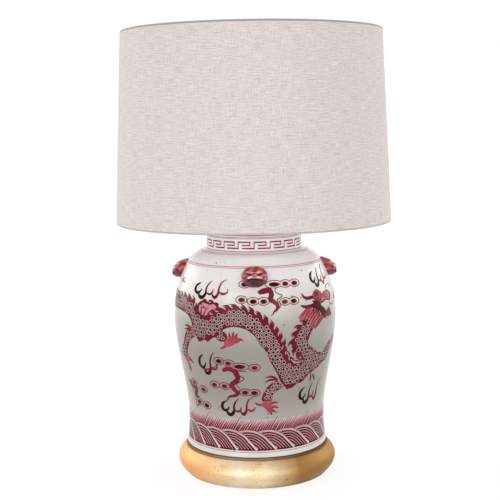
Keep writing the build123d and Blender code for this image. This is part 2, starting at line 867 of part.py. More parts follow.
def bulb_glass():
    # Neck, flaring cone and round top, as a thin shell open at the neck
    cap_top = bulb_tip_z + bulb_tip_height + bulb_collar_height + bulb_cap_height
    top = bulb_tip_z + bulb_height
    centre_z = top - bulb_radius

    def outline(skin):
        neck_r = bulb_neck_radius - skin
        ball_r = bulb_radius - skin
        start = at(neck_r, cap_top - 5)
        shoulder = at(neck_r, cap_top + 3)
        belly = at(ball_r, centre_z)
        bend = Bezier(shoulder, at(neck_r, cap_top + 18), at(ball_r, centre_z - 24), belly)
        slant = math.radians(45)
        mid = at(ball_r * math.cos(slant), centre_z + ball_r * math.sin(slant))
        dome = ThreePointArc(belly, mid, at(0, centre_z + ball_r))
        return [Line(start, shoulder), bend, dome]

    outer = outline(0)
    inner = outline(bulb_glass_wall)
    bottom = Line(at(bulb_neck_radius, cap_top - 5), at(bulb_neck_radius - bulb_glass_wall, cap_top - 5))
    top_line = Line(at(0, top), at(0, top - bulb_glass_wall))
    return turned_from(outer + inner + [bottom, top_line])


def build():
    nodes = {
        "gilded_base": gilded_base(),
        "felt_pad": felt_pad(),
        "cord_bushing": cord_bushing(),
        "base_washer": tube(
            base_washer_radius, rod_radius + seat_gap, base_washer_z + face_gap / 2, recess_top_z
        ),
        "base_locknut": base_locknut(),
        "threaded_rod": tube(rod_radius, rod_bore_radius, rod_bottom_z, rod_top_z),
        "foot_gasket": foot_gasket(),
        "jar_body": jar_body(),
        "mouth_gasket": tube(neck_radius - 0.5, neck_radius - jar_wall + 0.5, mouth_z, cap_rest_z),
        "vase_cap": vase_cap(),
        "check_ring": check_ring(),
        "neck_tube": neck_tube(),
        "harp_saddle": harp_saddle(),
        "harp": harp(),
        "harp_ferrule_left": harp_ferrule(-1),
        "harp_ferrule_right": harp_ferrule(1),
        "harp_stud": harp_stud(),
        "fitter_washer": fitter_washer(),
        "shade_top_ring": wire_ring(top_ring_radius(), top_ring_z()),
        "shade_bottom_ring": wire_ring(
            shade_radius(shade_bottom_z + hem_height()) - wire_inset(), shade_bottom_z + hem_height()
        ),
        "shade_liner": shade_liner(),
        "shade_cover": shade_cover(),
        "finial_collar": finial_collar(),
        "finial_ball": finial_ball(),
        "holder_cap": holder_cap(),
        "holder_shell": holder_shell(),
        "insulating_sleeve": insulating_sleeve(),
        "holder_insulator": holder_insulator(),
        "terminal_screws": terminal_screws(),
        "screw_shell": screw_shell(),
        "centre_contact": centre_contact(),
        "switch_shaft": switch_shaft(),
        "switch_knob": switch_knob(),
        "bulb_tip": bulb_tip(),
        "bulb_collar": bulb_collar(),
        "bulb_cap": bulb_cap(),
        "bulb_glass": bulb_glass(),
    }
    for place in ("front", "right", "back", "left"):
        number = ("front", "right", "back", "left").index(place)
        nodes["lion_mask_" + place] = lion_mask(number * 360 / mask_count)
    for number in range(arm_count):
        nodes["spider_arm_" + str(number + 1)] = spider_arm(number)
    return nodes


for name, solid in build().items():
    export_step(solid, "parts/" + name + ".step")
print("built", len(os.listdir("parts")), "pieces, shade from", shade_bottom_z, "to", shade_top_z)
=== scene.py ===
import math
import random

import bmesh
import bpy
import numpy as np
from mathutils import Matrix, Vector
from mathutils.geometry import delaunay_2d_cdt


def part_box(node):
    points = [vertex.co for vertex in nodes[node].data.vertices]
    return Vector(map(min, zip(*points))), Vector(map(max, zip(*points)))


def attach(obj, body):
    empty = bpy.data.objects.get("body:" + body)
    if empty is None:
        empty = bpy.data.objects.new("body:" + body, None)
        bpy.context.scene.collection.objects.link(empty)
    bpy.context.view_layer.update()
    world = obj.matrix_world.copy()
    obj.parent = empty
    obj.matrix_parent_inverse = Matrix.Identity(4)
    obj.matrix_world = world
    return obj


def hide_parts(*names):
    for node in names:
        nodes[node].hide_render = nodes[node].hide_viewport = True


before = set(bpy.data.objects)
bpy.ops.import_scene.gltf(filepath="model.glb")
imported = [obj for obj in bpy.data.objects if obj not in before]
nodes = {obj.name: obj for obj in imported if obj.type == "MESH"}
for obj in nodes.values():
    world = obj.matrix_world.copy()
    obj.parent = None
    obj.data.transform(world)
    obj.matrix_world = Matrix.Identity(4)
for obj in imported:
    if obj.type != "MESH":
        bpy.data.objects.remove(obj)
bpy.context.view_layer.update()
print("frame loaded:", len(nodes), "nodes")


# small tools for materials

def tint(red, green, blue):
    # a colour given on a 0 to 255 screen scale, as the shader wants it
    steps = []
    for part in (red, green, blue):
        part = part / 255
        steps.append(part / 12.92 if part <= 0.04045 else ((part + 0.055) / 1.055) ** 2.4)
    return (*steps, 1.0)


black, white = (0, 0, 0, 1), (1, 1, 1, 1)


class Wire:
    # one socket, so that shader maths reads as sums
    def __init__(self, bench, socket):
        self.bench = bench
        self.socket = socket

    def sum(self, how, left, right):
        return self.bench.node("ShaderNodeMath", {"operation": how}, {0: left, 1: right})

    def __add__(self, other):
        return self.sum("ADD", self, other)

    def __radd__(self, other):
        return self.sum("ADD", other, self)

    def __sub__(self, other):
        return self.sum("SUBTRACT", self, other)

    def __rsub__(self, other):
        return self.sum("SUBTRACT", other, self)

    def __mul__(self, other):
        return self.sum("MULTIPLY", self, other)

    def __rmul__(self, other):
        return self.sum("MULTIPLY", other, self)

    def __truediv__(self, other):
        return self.sum("DIVIDE", self, other)

    def __rtruediv__(self, other):
        return self.sum("DIVIDE", other, self)

    def __gt__(self, other):
        return self.sum("GREATER_THAN", self, other)

    def __lt__(self, other):
        return self.sum("LESS_THAN", self, other)

    def output(self, name):
        return Wire(self.bench, self.socket.node.outputs[name])


class Bench:
    # one material, or the world, and its node tree
    def __init__(self, name, world=None):
        self.material = world or bpy.data.materials.new(name)
        self.material.use_nodes = True
        self.tree = self.material.node_tree
        self.tree.nodes.clear()

    def node(self, kind, settings=None, inputs=None, output=0):
        made = self.tree.nodes.new(kind)
        for key, value in (settings or {}).items():
            if key == "stops":
                ramp = made.color_ramp.elements
                while len(ramp) < len(value):
                    ramp.new(0.5)
                for stop, (place, colour) in zip(ramp, value):
                    stop.position = place
                    stop.color = colour
            else:
                setattr(made, key, value)
        for key, value in (inputs or {}).items():
            if isinstance(value, Wire):
                self.tree.links.new(value.socket, made.inputs[key])
            else:
                made.inputs[key].default_value = value
        return Wire(self, made.outputs[output])

    def blend(self, factor, first, second, how="MIX"):
        settings = {"data_type": "RGBA", "blend_type": how}
        return self.node("ShaderNodeMix", settings, {0: factor, 6: first, 7: second}, output=2)

    def stretched(self, source, scale):
        return self.node("ShaderNodeMapping", {}, {"Vector": source, "Scale": scale})

    def objectPlace(self):
        return self.node("ShaderNodeTexCoord", output="Object")

    def mapPlace(self):
        return self.node("ShaderNodeTexCoord", output="UV")

    def noise(self, place, scale, detail=4.0, rough=0.55):
        inputs = {"Vector": place, "Scale": scale, "Detail": detail, "Roughness": rough}
        return self.node("ShaderNodeTexNoise", {}, inputs)

    def cells(self, place, scale):
        return self.node("ShaderNodeTexVoronoi", {"feature": "F1"}, {"Vector": place, "Scale": scale})

    def xyz(self, place):
        return self.node("ShaderNodeSeparateXYZ", {}, {0: place})

    def larger(self, left, right):
        return self.node("ShaderNodeMath", {"operation": "MAXIMUM"}, {0: left, 1: right})

    def fade(self, amount, slope):
        # a rising mask, kept between 0 and 1
        return self.node("ShaderNodeMath", {"operation": "MULTIPLY", "use_clamp": True}, {0: amount, 1: slope})

    def waves(self, angle):
        return self.node("ShaderNodeMath", {"operation": "SINE"}, {0: angle}) * 0.5 + 0.5

    def inkDepth(self):
        return self.node("ShaderNodeAttribute", {"attribute_name": "ink"}, output="Fac")

    def ramp(self, factor, *stops):
        return self.node("ShaderNodeValToRGB", {"stops": stops}, {"Fac": factor})

    def bump(self, height, strength, distance):
        return self.node("ShaderNodeBump", {}, {"Height": height, "Strength": strength, "Distance": distance})

    def done(self, **sockets):
        named = {key.replace("_", " "): value for key, value in sockets.items()}
        shader = self.node("ShaderNodeBsdfPrincipled", {}, named)
        self.surface(shader)
        return self.material

    def surface(self, shader, kind="ShaderNodeOutputMaterial"):
        out = self.tree.nodes.new(kind)
        self.tree.links.new(shader.socket, out.inputs["Surface"])


def paint(thing, finish):
    thing.data.materials.clear()
    thing.data.materials.append(finish)


# the glazes of the jar

glazeLook = {
    "iron": tint(84, 76, 70),
    # cells to the metre, size in the cell, patch scale, patch limit, strength
    "specks": ((95.0, 0.135, 60.0, 0.575, 0.8), (210.0, 0.15, 75.0, 0.6, 0.4)),
    "ripple": (34.0, 260.0), "rippleDepth": 0.0012, "gloss": 0.12, "dulling": 0.09,
    "shine": 0.42, "inkShine": 0.10, "wash": 0.16, "fineWash": 0.08, "bareFrom": 0.9,
    "low": 0.0462, "high": 0.373,
    # the glaze by height, foot to mouth, with painted shade and light: darker and greyer down the body as painted
    # shade, whiter on foot, shoulder and neck as painted light
    "ground": (
        (0.00, tint(224, 219, 218)), (0.05, tint(220, 214, 212)), (0.10, tint(188, 178, 174)),
        (0.26, tint(154, 148, 140)), (0.47, tint(152, 147, 139)), (0.60, tint(178, 173, 165)),
        (0.71, tint(220, 216, 210)), (0.80, tint(240, 236, 235)), (1.00, tint(247, 242, 243)),
    ),
    "inkStops": (
        (0.00, tint(40, 2, 11)), (0.15, tint(64, 6, 19)), (0.30, tint(96, 16, 31)), (0.50, tint(134, 36, 52)),
        (0.65, tint(160, 64, 78)), (0.78, tint(190, 108, 120)), (0.90, tint(210, 170, 172)),
        (1.00, tint(222, 208, 206)),
    ),
}


def glazeWithPaintedShade(bench, place):
    # painted shade and light: the glaze colour follows the height, darker down the body and whiter on foot, shoulder
    # and neck
    look = glazeLook
    height = bench.xyz(place).output("Z")
    drift = (bench.noise(place, 7.0, 3.0) - 0.5) * 0.07
    return bench.ramp((height - look["low"]) / (look["high"] - look["low"]) + drift, *look["ground"])


def glazeShine(bench, place):
    look = glazeLook
    wide, fine = look["ripple"]
    ripple = bench.noise(place, wide, 2.0) + bench.noise(place, fine, 1.0) * 0.15
    rough = look["gloss"] + bench.noise(place, 22.0, 3.0) * look["dulling"]
    return bench.bump(ripple, 0.16, look["rippleDepth"]), rough


def jarGlazeFinish():
    look = glazeLook
    bench = Bench("jarGlaze")
    place = bench.objectPlace()
    specks = [
        (bench.cells(place, scale) < size) * (bench.noise(place, patches, 1.0) > limit) * strength
        for scale, size, patches, limit, strength in look["specks"]
    ]
    colour = bench.blend(specks[0] + specks[1], glazeWithPaintedShade(bench, place), look["iron"])
    normal, rough = glazeShine(bench, place)
    return bench.done(
        Base_Color=colour, Roughness=rough + specks[0] * 0.25, Normal=normal, Specular_IOR_Level=look["shine"]
    )


def inkFinish(name, wash):
    # brushed underglaze red: each piece carries its depth of ink as a point value, 0 dark to 1 bare glaze
    look = glazeLook
    bench = Bench(name)
    place = bench.objectPlace()
    ink = bench.inkDepth()
    pooling = bench.noise(place, 130.0, 3.0) - 0.5
    streaks = bench.noise(bench.stretched(place, (160.0, 160.0, 40.0)), 1.0, 2.0) - 0.5
    brushed = bench.ramp(ink + pooling * wash + streaks * wash * 0.8, *look["inkStops"])
    bare = bench.fade(ink - look["bareFrom"], 10.0)
    # where the ink thins out the glaze shows, with its painted shade and light by height
    colour = bench.blend(bare, brushed, glazeWithPaintedShade(bench, place))
    normal, rough = glazeShine(bench, place)
    return bench.done(Base_Color=colour, Roughness=rough, Normal=normal, Specular_IOR_Level=look["inkShine"])


jarGlaze = jarGlazeFinish()
inkRed = inkFinish("inkRed", glazeLook["wash"])
inkFine = inkFinish("inkFine", glazeLook["fineWash"])


# tools for meshes

def newThing(name, points, faces):
    mesh = bpy.data.meshes.new(name)
    mesh.from_pydata([tuple(p) for p in points], [], [tuple(f) for f in faces])
    mesh.update()
    mesh.polygons.foreach_set("use_smooth", [True] * len(mesh.polygons))
    thing = bpy.data.objects.new(name, mesh)
    bpy.context.scene.collection.objects.link(thing)
    return thing


def pointValues(thing, name, values, kind="FLOAT"):
    layer = thing.data.attributes.new(name, kind, "POINT")
    layer.data.foreach_set("value" if kind == "FLOAT" else "vector", np.asarray(values, np.float32).ravel())


weldGap = 0.000002  # points closer than this become one


def outwards(thing):
    work = bmesh.new()
    work.from_mesh(thing.data)
    bmesh.ops.remove_doubles(work, verts=work.verts, dist=weldGap)
    bmesh.ops.recalc_face_normals(work, faces=work.faces)
    work.to_mesh(thing.data)
    work.free()
    thing.data.update()


def live(sockets, name=None):
    # the socket in use, of several that share a name and differ in kind
    return [s for s in sockets if s.enabled and name in (None, s.name)][0]


class GeoTree:
    # a Geometry Nodes tree under construction
    def __init__(self, name, *sizes):
        self.group = bpy.data.node_groups.new(name, "GeometryNodeTree")
        face = self.group.interface
        face.new_socket("Geometry", in_out="INPUT", socket_type="NodeSocketGeometry")
        for label, kind in sizes:
            face.new_socket(label, in_out="INPUT", socket_type=kind)
        face.new_socket("Finish", in_out="INPUT", socket_type="NodeSocketMaterial")
        face.new_socket("Geometry", in_out="OUTPUT", socket_type="NodeSocketGeometry")
        self.given = self.group.nodes.new("NodeGroupInput")

    def node(self, kind, settings=None, inputs=None):
        made = self.group.nodes.new(kind)
        for key, value in (settings or {}).items():
            setattr(made, key, value)
        for key, value in (inputs or {}).items():
            if isinstance(value, bpy.types.NodeSocket):
                self.group.links.new(value, made.inputs[key])
            elif isinstance(value, bpy.types.Node):
                self.group.links.new(value.outputs[0], made.inputs[key])
            else:
                made.inputs[key].default_value = value
        return made

    def sum(self, how, left, right=0.0):
        return self.node("ShaderNodeMath", {"operation": how}, {0: left, 1: right})

    def close(self, geometry):
        real = self.node("GeometryNodeRealizeInstances", {}, {"Geometry": geometry})
        dressed = self.node(
            "GeometryNodeSetMaterial", {}, {"Geometry": real, "Material": self.given.outputs["Finish"]}
        )
        out = self.group.nodes.new("NodeGroupOutput")
        self.group.links.new(dressed.outputs[0], out.inputs[0])
        return self.group


def grown(thing, group, finish, **sizes):
    # runs a tree on a thing and leaves a plain mesh
    grow = thing.modifiers.new("grow", "NODES")
    grow.node_group = group
    items = [item for item in group.interface.items_tree if item.item_type == "SOCKET"]
    sockets = {item.name: item.identifier for item in items if item.in_out == "INPUT"}
    for label, value in sizes.items():
        grow[sockets[label]] = value
    grow[sockets["Finish"]] = finish
    bpy.context.view_layer.update()
    looked = thing.evaluated_get(bpy.context.evaluated_depsgraph_get())
    mesh = bpy.data.meshes.new_from_object(looked)
    thing.modifiers.remove(grow)
    old = thing.data
    thing.data = mesh
    mesh.name = thing.name
    bpy.data.meshes.remove(old)
    return thing


def turningTree():
    # turns an outline, a row of points in the XZ plane, about the lamp's axis
    tree = GeoTree(
        "turning", ("Segments", "NodeSocketInt"), ("Rows", "NodeSocketInt"), ("CreaseAngle", "NodeSocketFloat")
    )
    rows = tree.given.outputs["Rows"]
    columns = tree.sum("ADD", tree.given.outputs["Segments"], 1.0)
    net = tree.node(
        "GeometryNodeMeshGrid", {}, {"Size X": 1.0, "Size Y": 1.0, "Vertices X": columns, "Vertices Y": rows}
    )
    where = tree.node("ShaderNodeSeparateXYZ", {}, {0: tree.node("GeometryNodeInputPosition")})
    across = tree.sum("ADD", where.outputs["X"], 0.5)
    along = tree.sum("ADD", where.outputs["Y"], 0.5)
    step = tree.sum("ROUND", tree.sum("MULTIPLY", along, tree.sum("SUBTRACT", rows, 1.0)))
    sample = tree.node("GeometryNodeSampleIndex", {"data_type": "FLOAT_VECTOR", "domain": "POINT"})
    tree.group.links.new(tree.given.outputs["Geometry"], sample.inputs["Geometry"])
    tree.group.links.new(tree.node("GeometryNodeInputPosition").outputs[0], live(sample.inputs, "Value"))
    tree.group.links.new(step.outputs[0], sample.inputs["Index"])
    point = tree.node("ShaderNodeSeparateXYZ", {}, {0: live(sample.outputs)})
    angle = tree.sum("MULTIPLY", across, 2 * math.pi)
    x = tree.sum("MULTIPLY", point.outputs["X"], tree.sum("SINE", angle))
    y = tree.sum("MULTIPLY", point.outputs["X"], tree.sum("COSINE", angle))
    place = tree.node("ShaderNodeCombineXYZ", {}, {"X": x, "Y": y, "Z": point.outputs["Z"]})
    moved = tree.node("GeometryNodeSetPosition", {}, {"Geometry": net.outputs["Mesh"], "Position": place})
    joined = tree.node("GeometryNodeMergeByDistance", {}, {"Geometry": moved, "Distance": weldGap})
    smooth = tree.node("GeometryNodeSetShadeSmooth", {}, {"Geometry": joined})
    edge = tree.node("GeometryNodeInputMeshEdgeAngle")
    sharp = tree.node(
        "FunctionNodeCompare", {"data_type": "FLOAT", "operation": "GREATER_THAN"},
        {0: edge.outputs[0], 1: tree.given.outputs["CreaseAngle"]},
    )
    creased = tree.node(
        "GeometryNodeSetShadeSmooth", {"domain": "EDGE"},
        {"Geometry": smooth, "Selection": sharp, "Shade Smooth": False},
    )
    return tree.close(creased)


def ringTree():
    # sets a unit round the lamp's axis, evenly spaced
    tree = GeoTree("ringOfCopies", ("Copies", "NodeSocketInt"))
    copies = tree.given.outputs["Copies"]
    spots = tree.node("GeometryNodePoints", {}, {"Count": copies})
    number = tree.node("GeometryNodeInputIndex")
    angle = tree.sum("MULTIPLY", tree.sum("DIVIDE", number, copies), 2 * math.pi)
    turn = tree.node("ShaderNodeCombineXYZ", {}, {"Z": angle})
    home = tree.node("GeometryNodeSetPosition", {}, {"Geometry": spots, "Position": (0.0, 0.0, 0.0)})
    placed = tree.node(
        "GeometryNodeInstanceOnPoints", {},
        {"Points": home, "Instance": tree.given.outputs["Geometry"], "Rotation": turn},
    )
    return tree.close(placed)


def scaleTree():
    # lays a small round spot, square to the wall, on every point
    tree = GeoTree(
        "spotsOnPoints", ("Sides", "NodeSocketInt"), ("Radius", "NodeSocketFloat"), ("Ink", "NodeSocketFloat")
    )
    spot = tree.node(
        "GeometryNodeMeshCircle", {"fill_type": "TRIANGLE_FAN"},
        {"Vertices": tree.given.outputs["Sides"], "Radius": tree.given.outputs["Radius"]},
    )
    facing = tree.node("GeometryNodeInputNamedAttribute", {"data_type": "FLOAT_VECTOR"}, {"Name": "facing"})
    size = tree.node("GeometryNodeInputNamedAttribute", {"data_type": "FLOAT"}, {"Name": "size"})
    turn = tree.node("FunctionNodeAlignEulerToVector", {"axis": "Z"}, {"Vector": live(facing.outputs)})
    laid = tree.node(
        "GeometryNodeInstanceOnPoints", {},
        {"Points": tree.given.outputs["Geometry"], "Instance": spot, "Rotation": turn, "Scale": live(size.outputs)},
    )
    real = tree.node("GeometryNodeRealizeInstances", {}, {"Geometry": laid})
    inked = tree.node(
        "GeometryNodeStoreNamedAttribute", {"data_type": "FLOAT", "domain": "POINT"},
        {"Geometry": real, "Name": "ink"},
    )
    tree.group.links.new(tree.given.outputs["Ink"], live(inked.inputs, "Value"))
    return tree.close(inked)


turning = turningTree()
ringOfCopies = ringTree()
spotsOnPoints = scaleTree()


def turned(name, outline, finish, segments=192, crease=35.0):
    # outline: (radius, height) in metres, closed by its last point
    rail = newThing(name, [(r, 0, z) for r, z in outline], [])
    grown(rail, turning, finish, Segments=segments, Rows=len(outline), CreaseAngle=math.radians(crease))
    outwards(rail)
    return rail


def through(points, step):
    # a smooth line through given points, sampled at about this step
    points = [np.array(p, float) for p in points]
    run = []
    ends = [2 * points[0] - points[1]] + points + [2 * points[-1] - points[-2]]
    for a, b, c, d in zip(ends, ends[1:], ends[2:], ends[3:]):
        count = max(1, int(np.ceil(np.linalg.norm(c - b) / step)))
        for part in range(count):
            t = part / count
            run.append(
                0.5 * (2 * b + (c - a) * t + (2 * a - 5 * b + 4 * c - d) * t**2 + (3 * b - a - 3 * c + d) * t**3)
            )
    run.append(points[-1])
    return np.array(run)


def closed(line):
    return list(line) + [line[0]]


def alongAndLeft(run):
    # at each point of a line, the way it runs and the way to its left
    way = np.gradient(run, axis=0)
    way /= np.maximum(np.linalg.norm(way, axis=1, keepdims=True), 1e-9)
    return way, np.stack([-way[:, 1], way[:, 0]], 1)


def gridFaces(rows, across):
    # the quads of a grid of points that goes row by row
    corners = [row * across + a for row in range(rows - 1) for a in range(across - 1)]
    return [(at, at + 1, at + across + 1, at + across) for at in corners]


# the jar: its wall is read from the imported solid, smoothed and turned

jarShape = {
    "segments": 288, "rowStep": 0.0026, "innerStep": 0.003, "closest": 0.0008,
    "rodHole": 0.0056, "footRing": 0.0955, "footRise": 0.004, "footRound": 0.0014,
    "axisClear": 0.03, "wallLean": 0.12,
}


def wallOf(node, out):
    # (height, radius) points on the outer wall of a turned solid (out 1) or its inner wall (out -1), going up
    mesh = nodes[node].data
    found = {}
    for vertex in mesh.vertices:
        r = math.hypot(vertex.co.x, vertex.co.y)
        if r < jarShape["axisClear"]:
            continue
        lean = (vertex.normal.x * vertex.co.x + vertex.normal.y * vertex.co.y) / r
        if lean * out > jarShape["wallLean"]:
            found[round(vertex.co.z, 4)] = r
    return sorted((z, r) for z, r in found.items())


def makeJar():
    look = jarShape
    outer = wallOf("jar_body", 1)
    levels = [outer[0]]
    for z, r in outer[1:]:
        if math.dist((z, r), levels[-1]) > look["closest"]:
            levels.append((z, r))
    skin = through(levels, look["rowStep"])
    inner = wallOf("jar_body", -1)
    thin = [inner[0]]
    for spot in inner[1:]:
        if math.dist(spot, thin[-1]) > look["innerStep"]:
            thin.append(spot)
    low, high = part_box("jar_body")
    outline = [(r, z) for z, r in skin]
    outline += [(outline[-1][0], high.z), (thin[-1][1], high.z)]
    outline += [(r, z) for z, r in reversed(thin)]
    under = low.z + look["footRise"]
    outline += [(look["rodHole"], thin[0][0]), (look["rodHole"], under), (look["footRing"], under)]
    outline += [(look["footRing"], low.z), (outline[0][0] - look["footRound"], low.z), outline[0]]
    return turned("jarWall", outline, jarGlaze, look["segments"]), skin


jarWall, jarSkin = makeJar()
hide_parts("jar_body")
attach(jarWall, "lamp_body")
print("jar turned:", len(jarWall.data.polygons), "faces")

# the wall as a map: mm up along the glaze from the foot, and what radius and height that is
skinZ = np.array([z for z, r in jarSkin]) * 1000
skinR = np.array([r for z, r in jarSkin]) * 1000
skinRun = np.concatenate([[0], np.cumsum(np.hypot(np.diff(skinZ), np.diff(skinR)))])
wrapRadius = 118.0


def onJar(s, v, lift):
    # s mm round to the viewer's right from the front, v mm up the wall, lift mm out of the glaze
    r = np.interp(v, skinRun, skinR)
    z = np.interp(v, skinRun, skinZ)
    above, below = np.asarray(v) + 1.5, np.asarray(v) - 1.5
    up = np.interp(above, skinRun, skinZ) - np.interp(below, skinRun, skinZ)
    out = np.interp(above, skinRun, skinR) - np.interp(below, skinRun, skinR)
    size = np.hypot(up, out)
    angle = np.asarray(s) / wrapRadius
    r = r + lift * up / size
    z = z - lift * out / size
    return np.stack([r * np.sin(angle), -r * np.cos(angle), z], -1) / 1000


def faceAt(s, v):
    step = onJar(s, v, 1.0) - onJar(s, v, 0.0)
    return step / np.linalg.norm(step, axis=-1, keepdims=True)


class Brush:
    # painted shapes gathered into one thin piece just proud of the glaze; all in mm, and lift is how far a
    # shape stands out of the glaze, a little more for what is painted over another
    def __init__(self):
        self.points = []
        self.faces = []
        self.inks = []

    def add(self, flat, faces, inks, lift):
        start = len(self.points)
        flat = np.asarray(flat, float)
        self.points += list(onJar(flat[:, 0], flat[:, 1], lift))
        self.faces += [tuple(start + i for i in face) for face in faces]
        self.inks += list(np.broadcast_to(inks, (len(flat),)))

    def stroke(self, line, widths, inks, lift, step=2.0):
        run = through(line, step)
        if len(run) < 2:
            return
        side = alongAndLeft(run)[1]
        t = np.linspace(0, 1, len(run))
        widths = np.interp(t, np.linspace(0, 1, len(widths)), widths) / 2
        inks = np.interp(t, np.linspace(0, 1, len(inks)), inks)
        squeeze = wrapRadius / np.interp(run[:, 1], skinRun, skinR)
        side[:, 0] *= squeeze
        left = run + side * widths[:, None]
        right = run - side * widths[:, None]
        flat = np.concatenate([left, run, right])
        n = len(run)
        faces = []
        for i in range(n - 1):
            faces.append((i, n + i, n + i + 1, i + 1))
            faces.append((n + i, 2 * n + i, 2 * n + i + 1, n + i + 1))
        self.add(flat, faces, np.concatenate([inks, inks, inks]), lift)

    def fill(self, outline, ink, lift, step=3.0, smooth=True):
        ring = through(closed(outline), step)[:-1] if smooth else straight(outline, step)
        low, high = ring.min(0), ring.max(0)
        across, up = np.arange(low[0], high[0], step), np.arange(low[1], high[1], step)
        grid = np.array([(x, y) for x in across for y in up])
        if len(grid):
            grid = grid[inside(grid, ring, step * 0.45)]
        every = [Vector(p) for p in ring] + [Vector(p) for p in grid]
        made = delaunay_2d_cdt(every, [], [list(range(len(ring)))], 1, 0.0001)
        flat = np.array([tuple(p) for p in made[0]])
        self.add(flat, [tuple(face) for face in made[2]], ink, lift)

    def band(self, low, high, ink, lift):
        # a plain ring between two heights
        copies = jarShape["segments"]
        rows = max(2, int((high - low) / 3) + 2)
        spots = [a / copies * 2 * math.pi * wrapRadius for a in range(copies)]
        flat = [(s, v) for v in np.linspace(low, high, rows) for s in spots]
        faces = []
        for row in range(rows - 1):
            for a in range(copies):
                b = (a + 1) % copies
                faces.append((row * copies + a, row * copies + b, (row + 1) * copies + b, (row + 1) * copies + a))
        self.add(flat, faces, ink, lift)

    def block(self, s0, s1, v0, v1, ink, lift):
        # a bar; its ink is one value, or runs from one end to the other
        step = 3.0
        ink = ink if isinstance(ink, tuple) else (ink, ink)
        across = max(2, int(abs(s1 - s0) / step) + 2)
        up = max(2, int(abs(v1 - v0) / step) + 2)
        flat = [(s, v) for v in np.linspace(v0, v1, up) for s in np.linspace(s0, s1, across)]
        inks = list(np.linspace(ink[0], ink[1], across)) * up
        self.add(flat, gridFaces(up, across), inks, lift)

    def spot(self, s, v, wide, tall, ink, lift, sides):
        # an ellipse as a fan
        ratio = wrapRadius / np.interp(v, skinRun, skinR)
        angles = np.arange(sides) * 2 * math.pi / sides
        flat = [(s, v)] + [(s + wide * ratio * math.cos(a), v + tall * math.sin(a)) for a in angles]
        faces = [(0, 1 + i, 1 + (i + 1) % sides) for i in range(sides)]
        self.add(flat, faces, ink, lift)

    def mirrored(self):
        # the same painting again on the far side of the jar
        count = len(self.points)
        self.points += [np.array((-p[0], -p[1], p[2])) for p in self.points]
        self.faces += [tuple(count + i for i in face) for face in self.faces]
        self.inks += list(self.inks)
        return self

    def piece(self, name, finish=None):
        thing = newThing(name, self.points, self.faces)
        pointValues(thing, "ink", self.inks)
        facesOut(thing)
        paint(thing, finish or inkRed)
        return thing


def facesOut(thing):
    # painted faces look away from the lamp's axis or up
    work = bmesh.new()
    work.from_mesh(thing.data)
    work.normal_update()
    turn = []
    for face in work.faces:
        middle = face.calc_center_median()
        if face.normal.dot(Vector((middle.x, middle.y, 0.02))) < 0:
            turn.append(face)
    bmesh.ops.reverse_faces(work, faces=turn)
    work.to_mesh(thing.data)
    work.free()
    thing.data.update()


def straight(ring, step):
    run = []
    for a, b in zip(ring, np.roll(ring, -1, axis=0)):
        count = max(1, int(np.ceil(np.linalg.norm(b - a) / step)))
        run += [a + (b - a) * part / count for part in range(count)]
    return np.array(run)


def inside(spots, ring, margin):
    # which spots lie in a closed ring, and at least a margin from its edge
    x, y = spots[:, 0], spots[:, 1]
    a, b = ring, np.roll(ring, -1, axis=0)
    hit = np.zeros(len(spots), bool)
    near = np.full(len(spots), 1e9)
    for (x0, y0), (x1, y1) in zip(a, b):
        crosses = (y0 > y) != (y1 > y)
        if y1 != y0:
            hit ^= crosses & (x < (x1 - x0) * (y - y0) / (y1 - y0) + x0)
        dx, dy = x1 - x0, y1 - y0
        size = max(dx * dx + dy * dy, 1e-9)
        t = np.clip(((x - x0) * dx + (y - y0) * dy) / size, 0, 1)
        near = np.minimum(near, np.hypot(x - x0 - t * dx, y - y0 - t * dy))
    return hit & (near > margin)


def onLamp(thing):
    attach(thing, "lamp_body")


def ringed(name, brush, copies):
    # one painted unit set round the jar by Geometry Nodes
    thing = brush.piece(name, inkFine)
    grown(thing, ringOfCopies, inkFine, Copies=copies)
    onLamp(thing)


# painted rings, key fret, waves and hatching

ringLook = [
    # lower edge, upper edge, ink
    (338.6, 340.0, 0.76), (336.3, 337.0, 0.55), (334.7, 335.4, 0.66), (315.8, 317.0, 0.78), (306.2, 307.2, 0.70),
    (281.2, 282.3, 0.77), (278.9, 279.9, 0.80), (10.9, 12.5, 0.30), (8.3, 9.0, 0.62), (0.2, 1.0, 0.66),
]

rings = Brush()
for low, high, ink in ringLook:
    rings.band(low, high, ink, 0.08)
onLamp(rings.piece("paintedRings", inkFine))

fretLook = {
    "units": 19, "radius": 70.5, "bar": 2.0, "post": 1.4, "top": 330.1, "inner": 325.5, "low": 321.2, "ink": 0.60,
    "corner": 0.40,
}


def makeFret():
    look = fretLook
    pitch = 2 * math.pi * look["radius"] / look["units"]
    stretch = wrapRadius / look["radius"]
    half = look["bar"] / 2
    post = look["post"] / 2
    ink, corner = look["ink"], look["corner"]
    unit = Brush()

    def bar(u0, u1, v, inks):
        unit.block(u0 * stretch, u1 * stretch, v - half, v + half, inks, 0.08)

    def upright(u, v0, v1, shade):
        unit.block((u - post) * stretch, (u + post) * stretch, v0 - half, v1 + half, shade, 0.10)

    bar(-0.76 * pitch, 0, look["low"], (ink, corner))
    upright(0, look["low"], look["top"], ink)
    bar(0, 0.74 * pitch, look["top"], (corner, ink))
    upright(0.74 * pitch, look["inner"], look["top"], corner)
    bar(0.24 * pitch, 0.74 * pitch, look["inner"], (ink, ink))
    ringed("keyFret", unit, look["units"])


makeFret()

waveLook = {
    "waves": 23, "base": 12.0, "radius": 103.6, "arcWidth": 3.2,
    "arc": [(-52, 25.2), (-44, 27), (-37, 27.7), (-28, 26.3), (-21, 22.5), (-15, 18), (-9.6, 11.6), (-4, 5), (0, 0)],
    "firstLine": 3.0, "linePitch": 3.5, "lines": 8, "ground": 0.32, "dark": 0.16, "pale": 0.86, "columns": 13,
    "rows": 11,
}


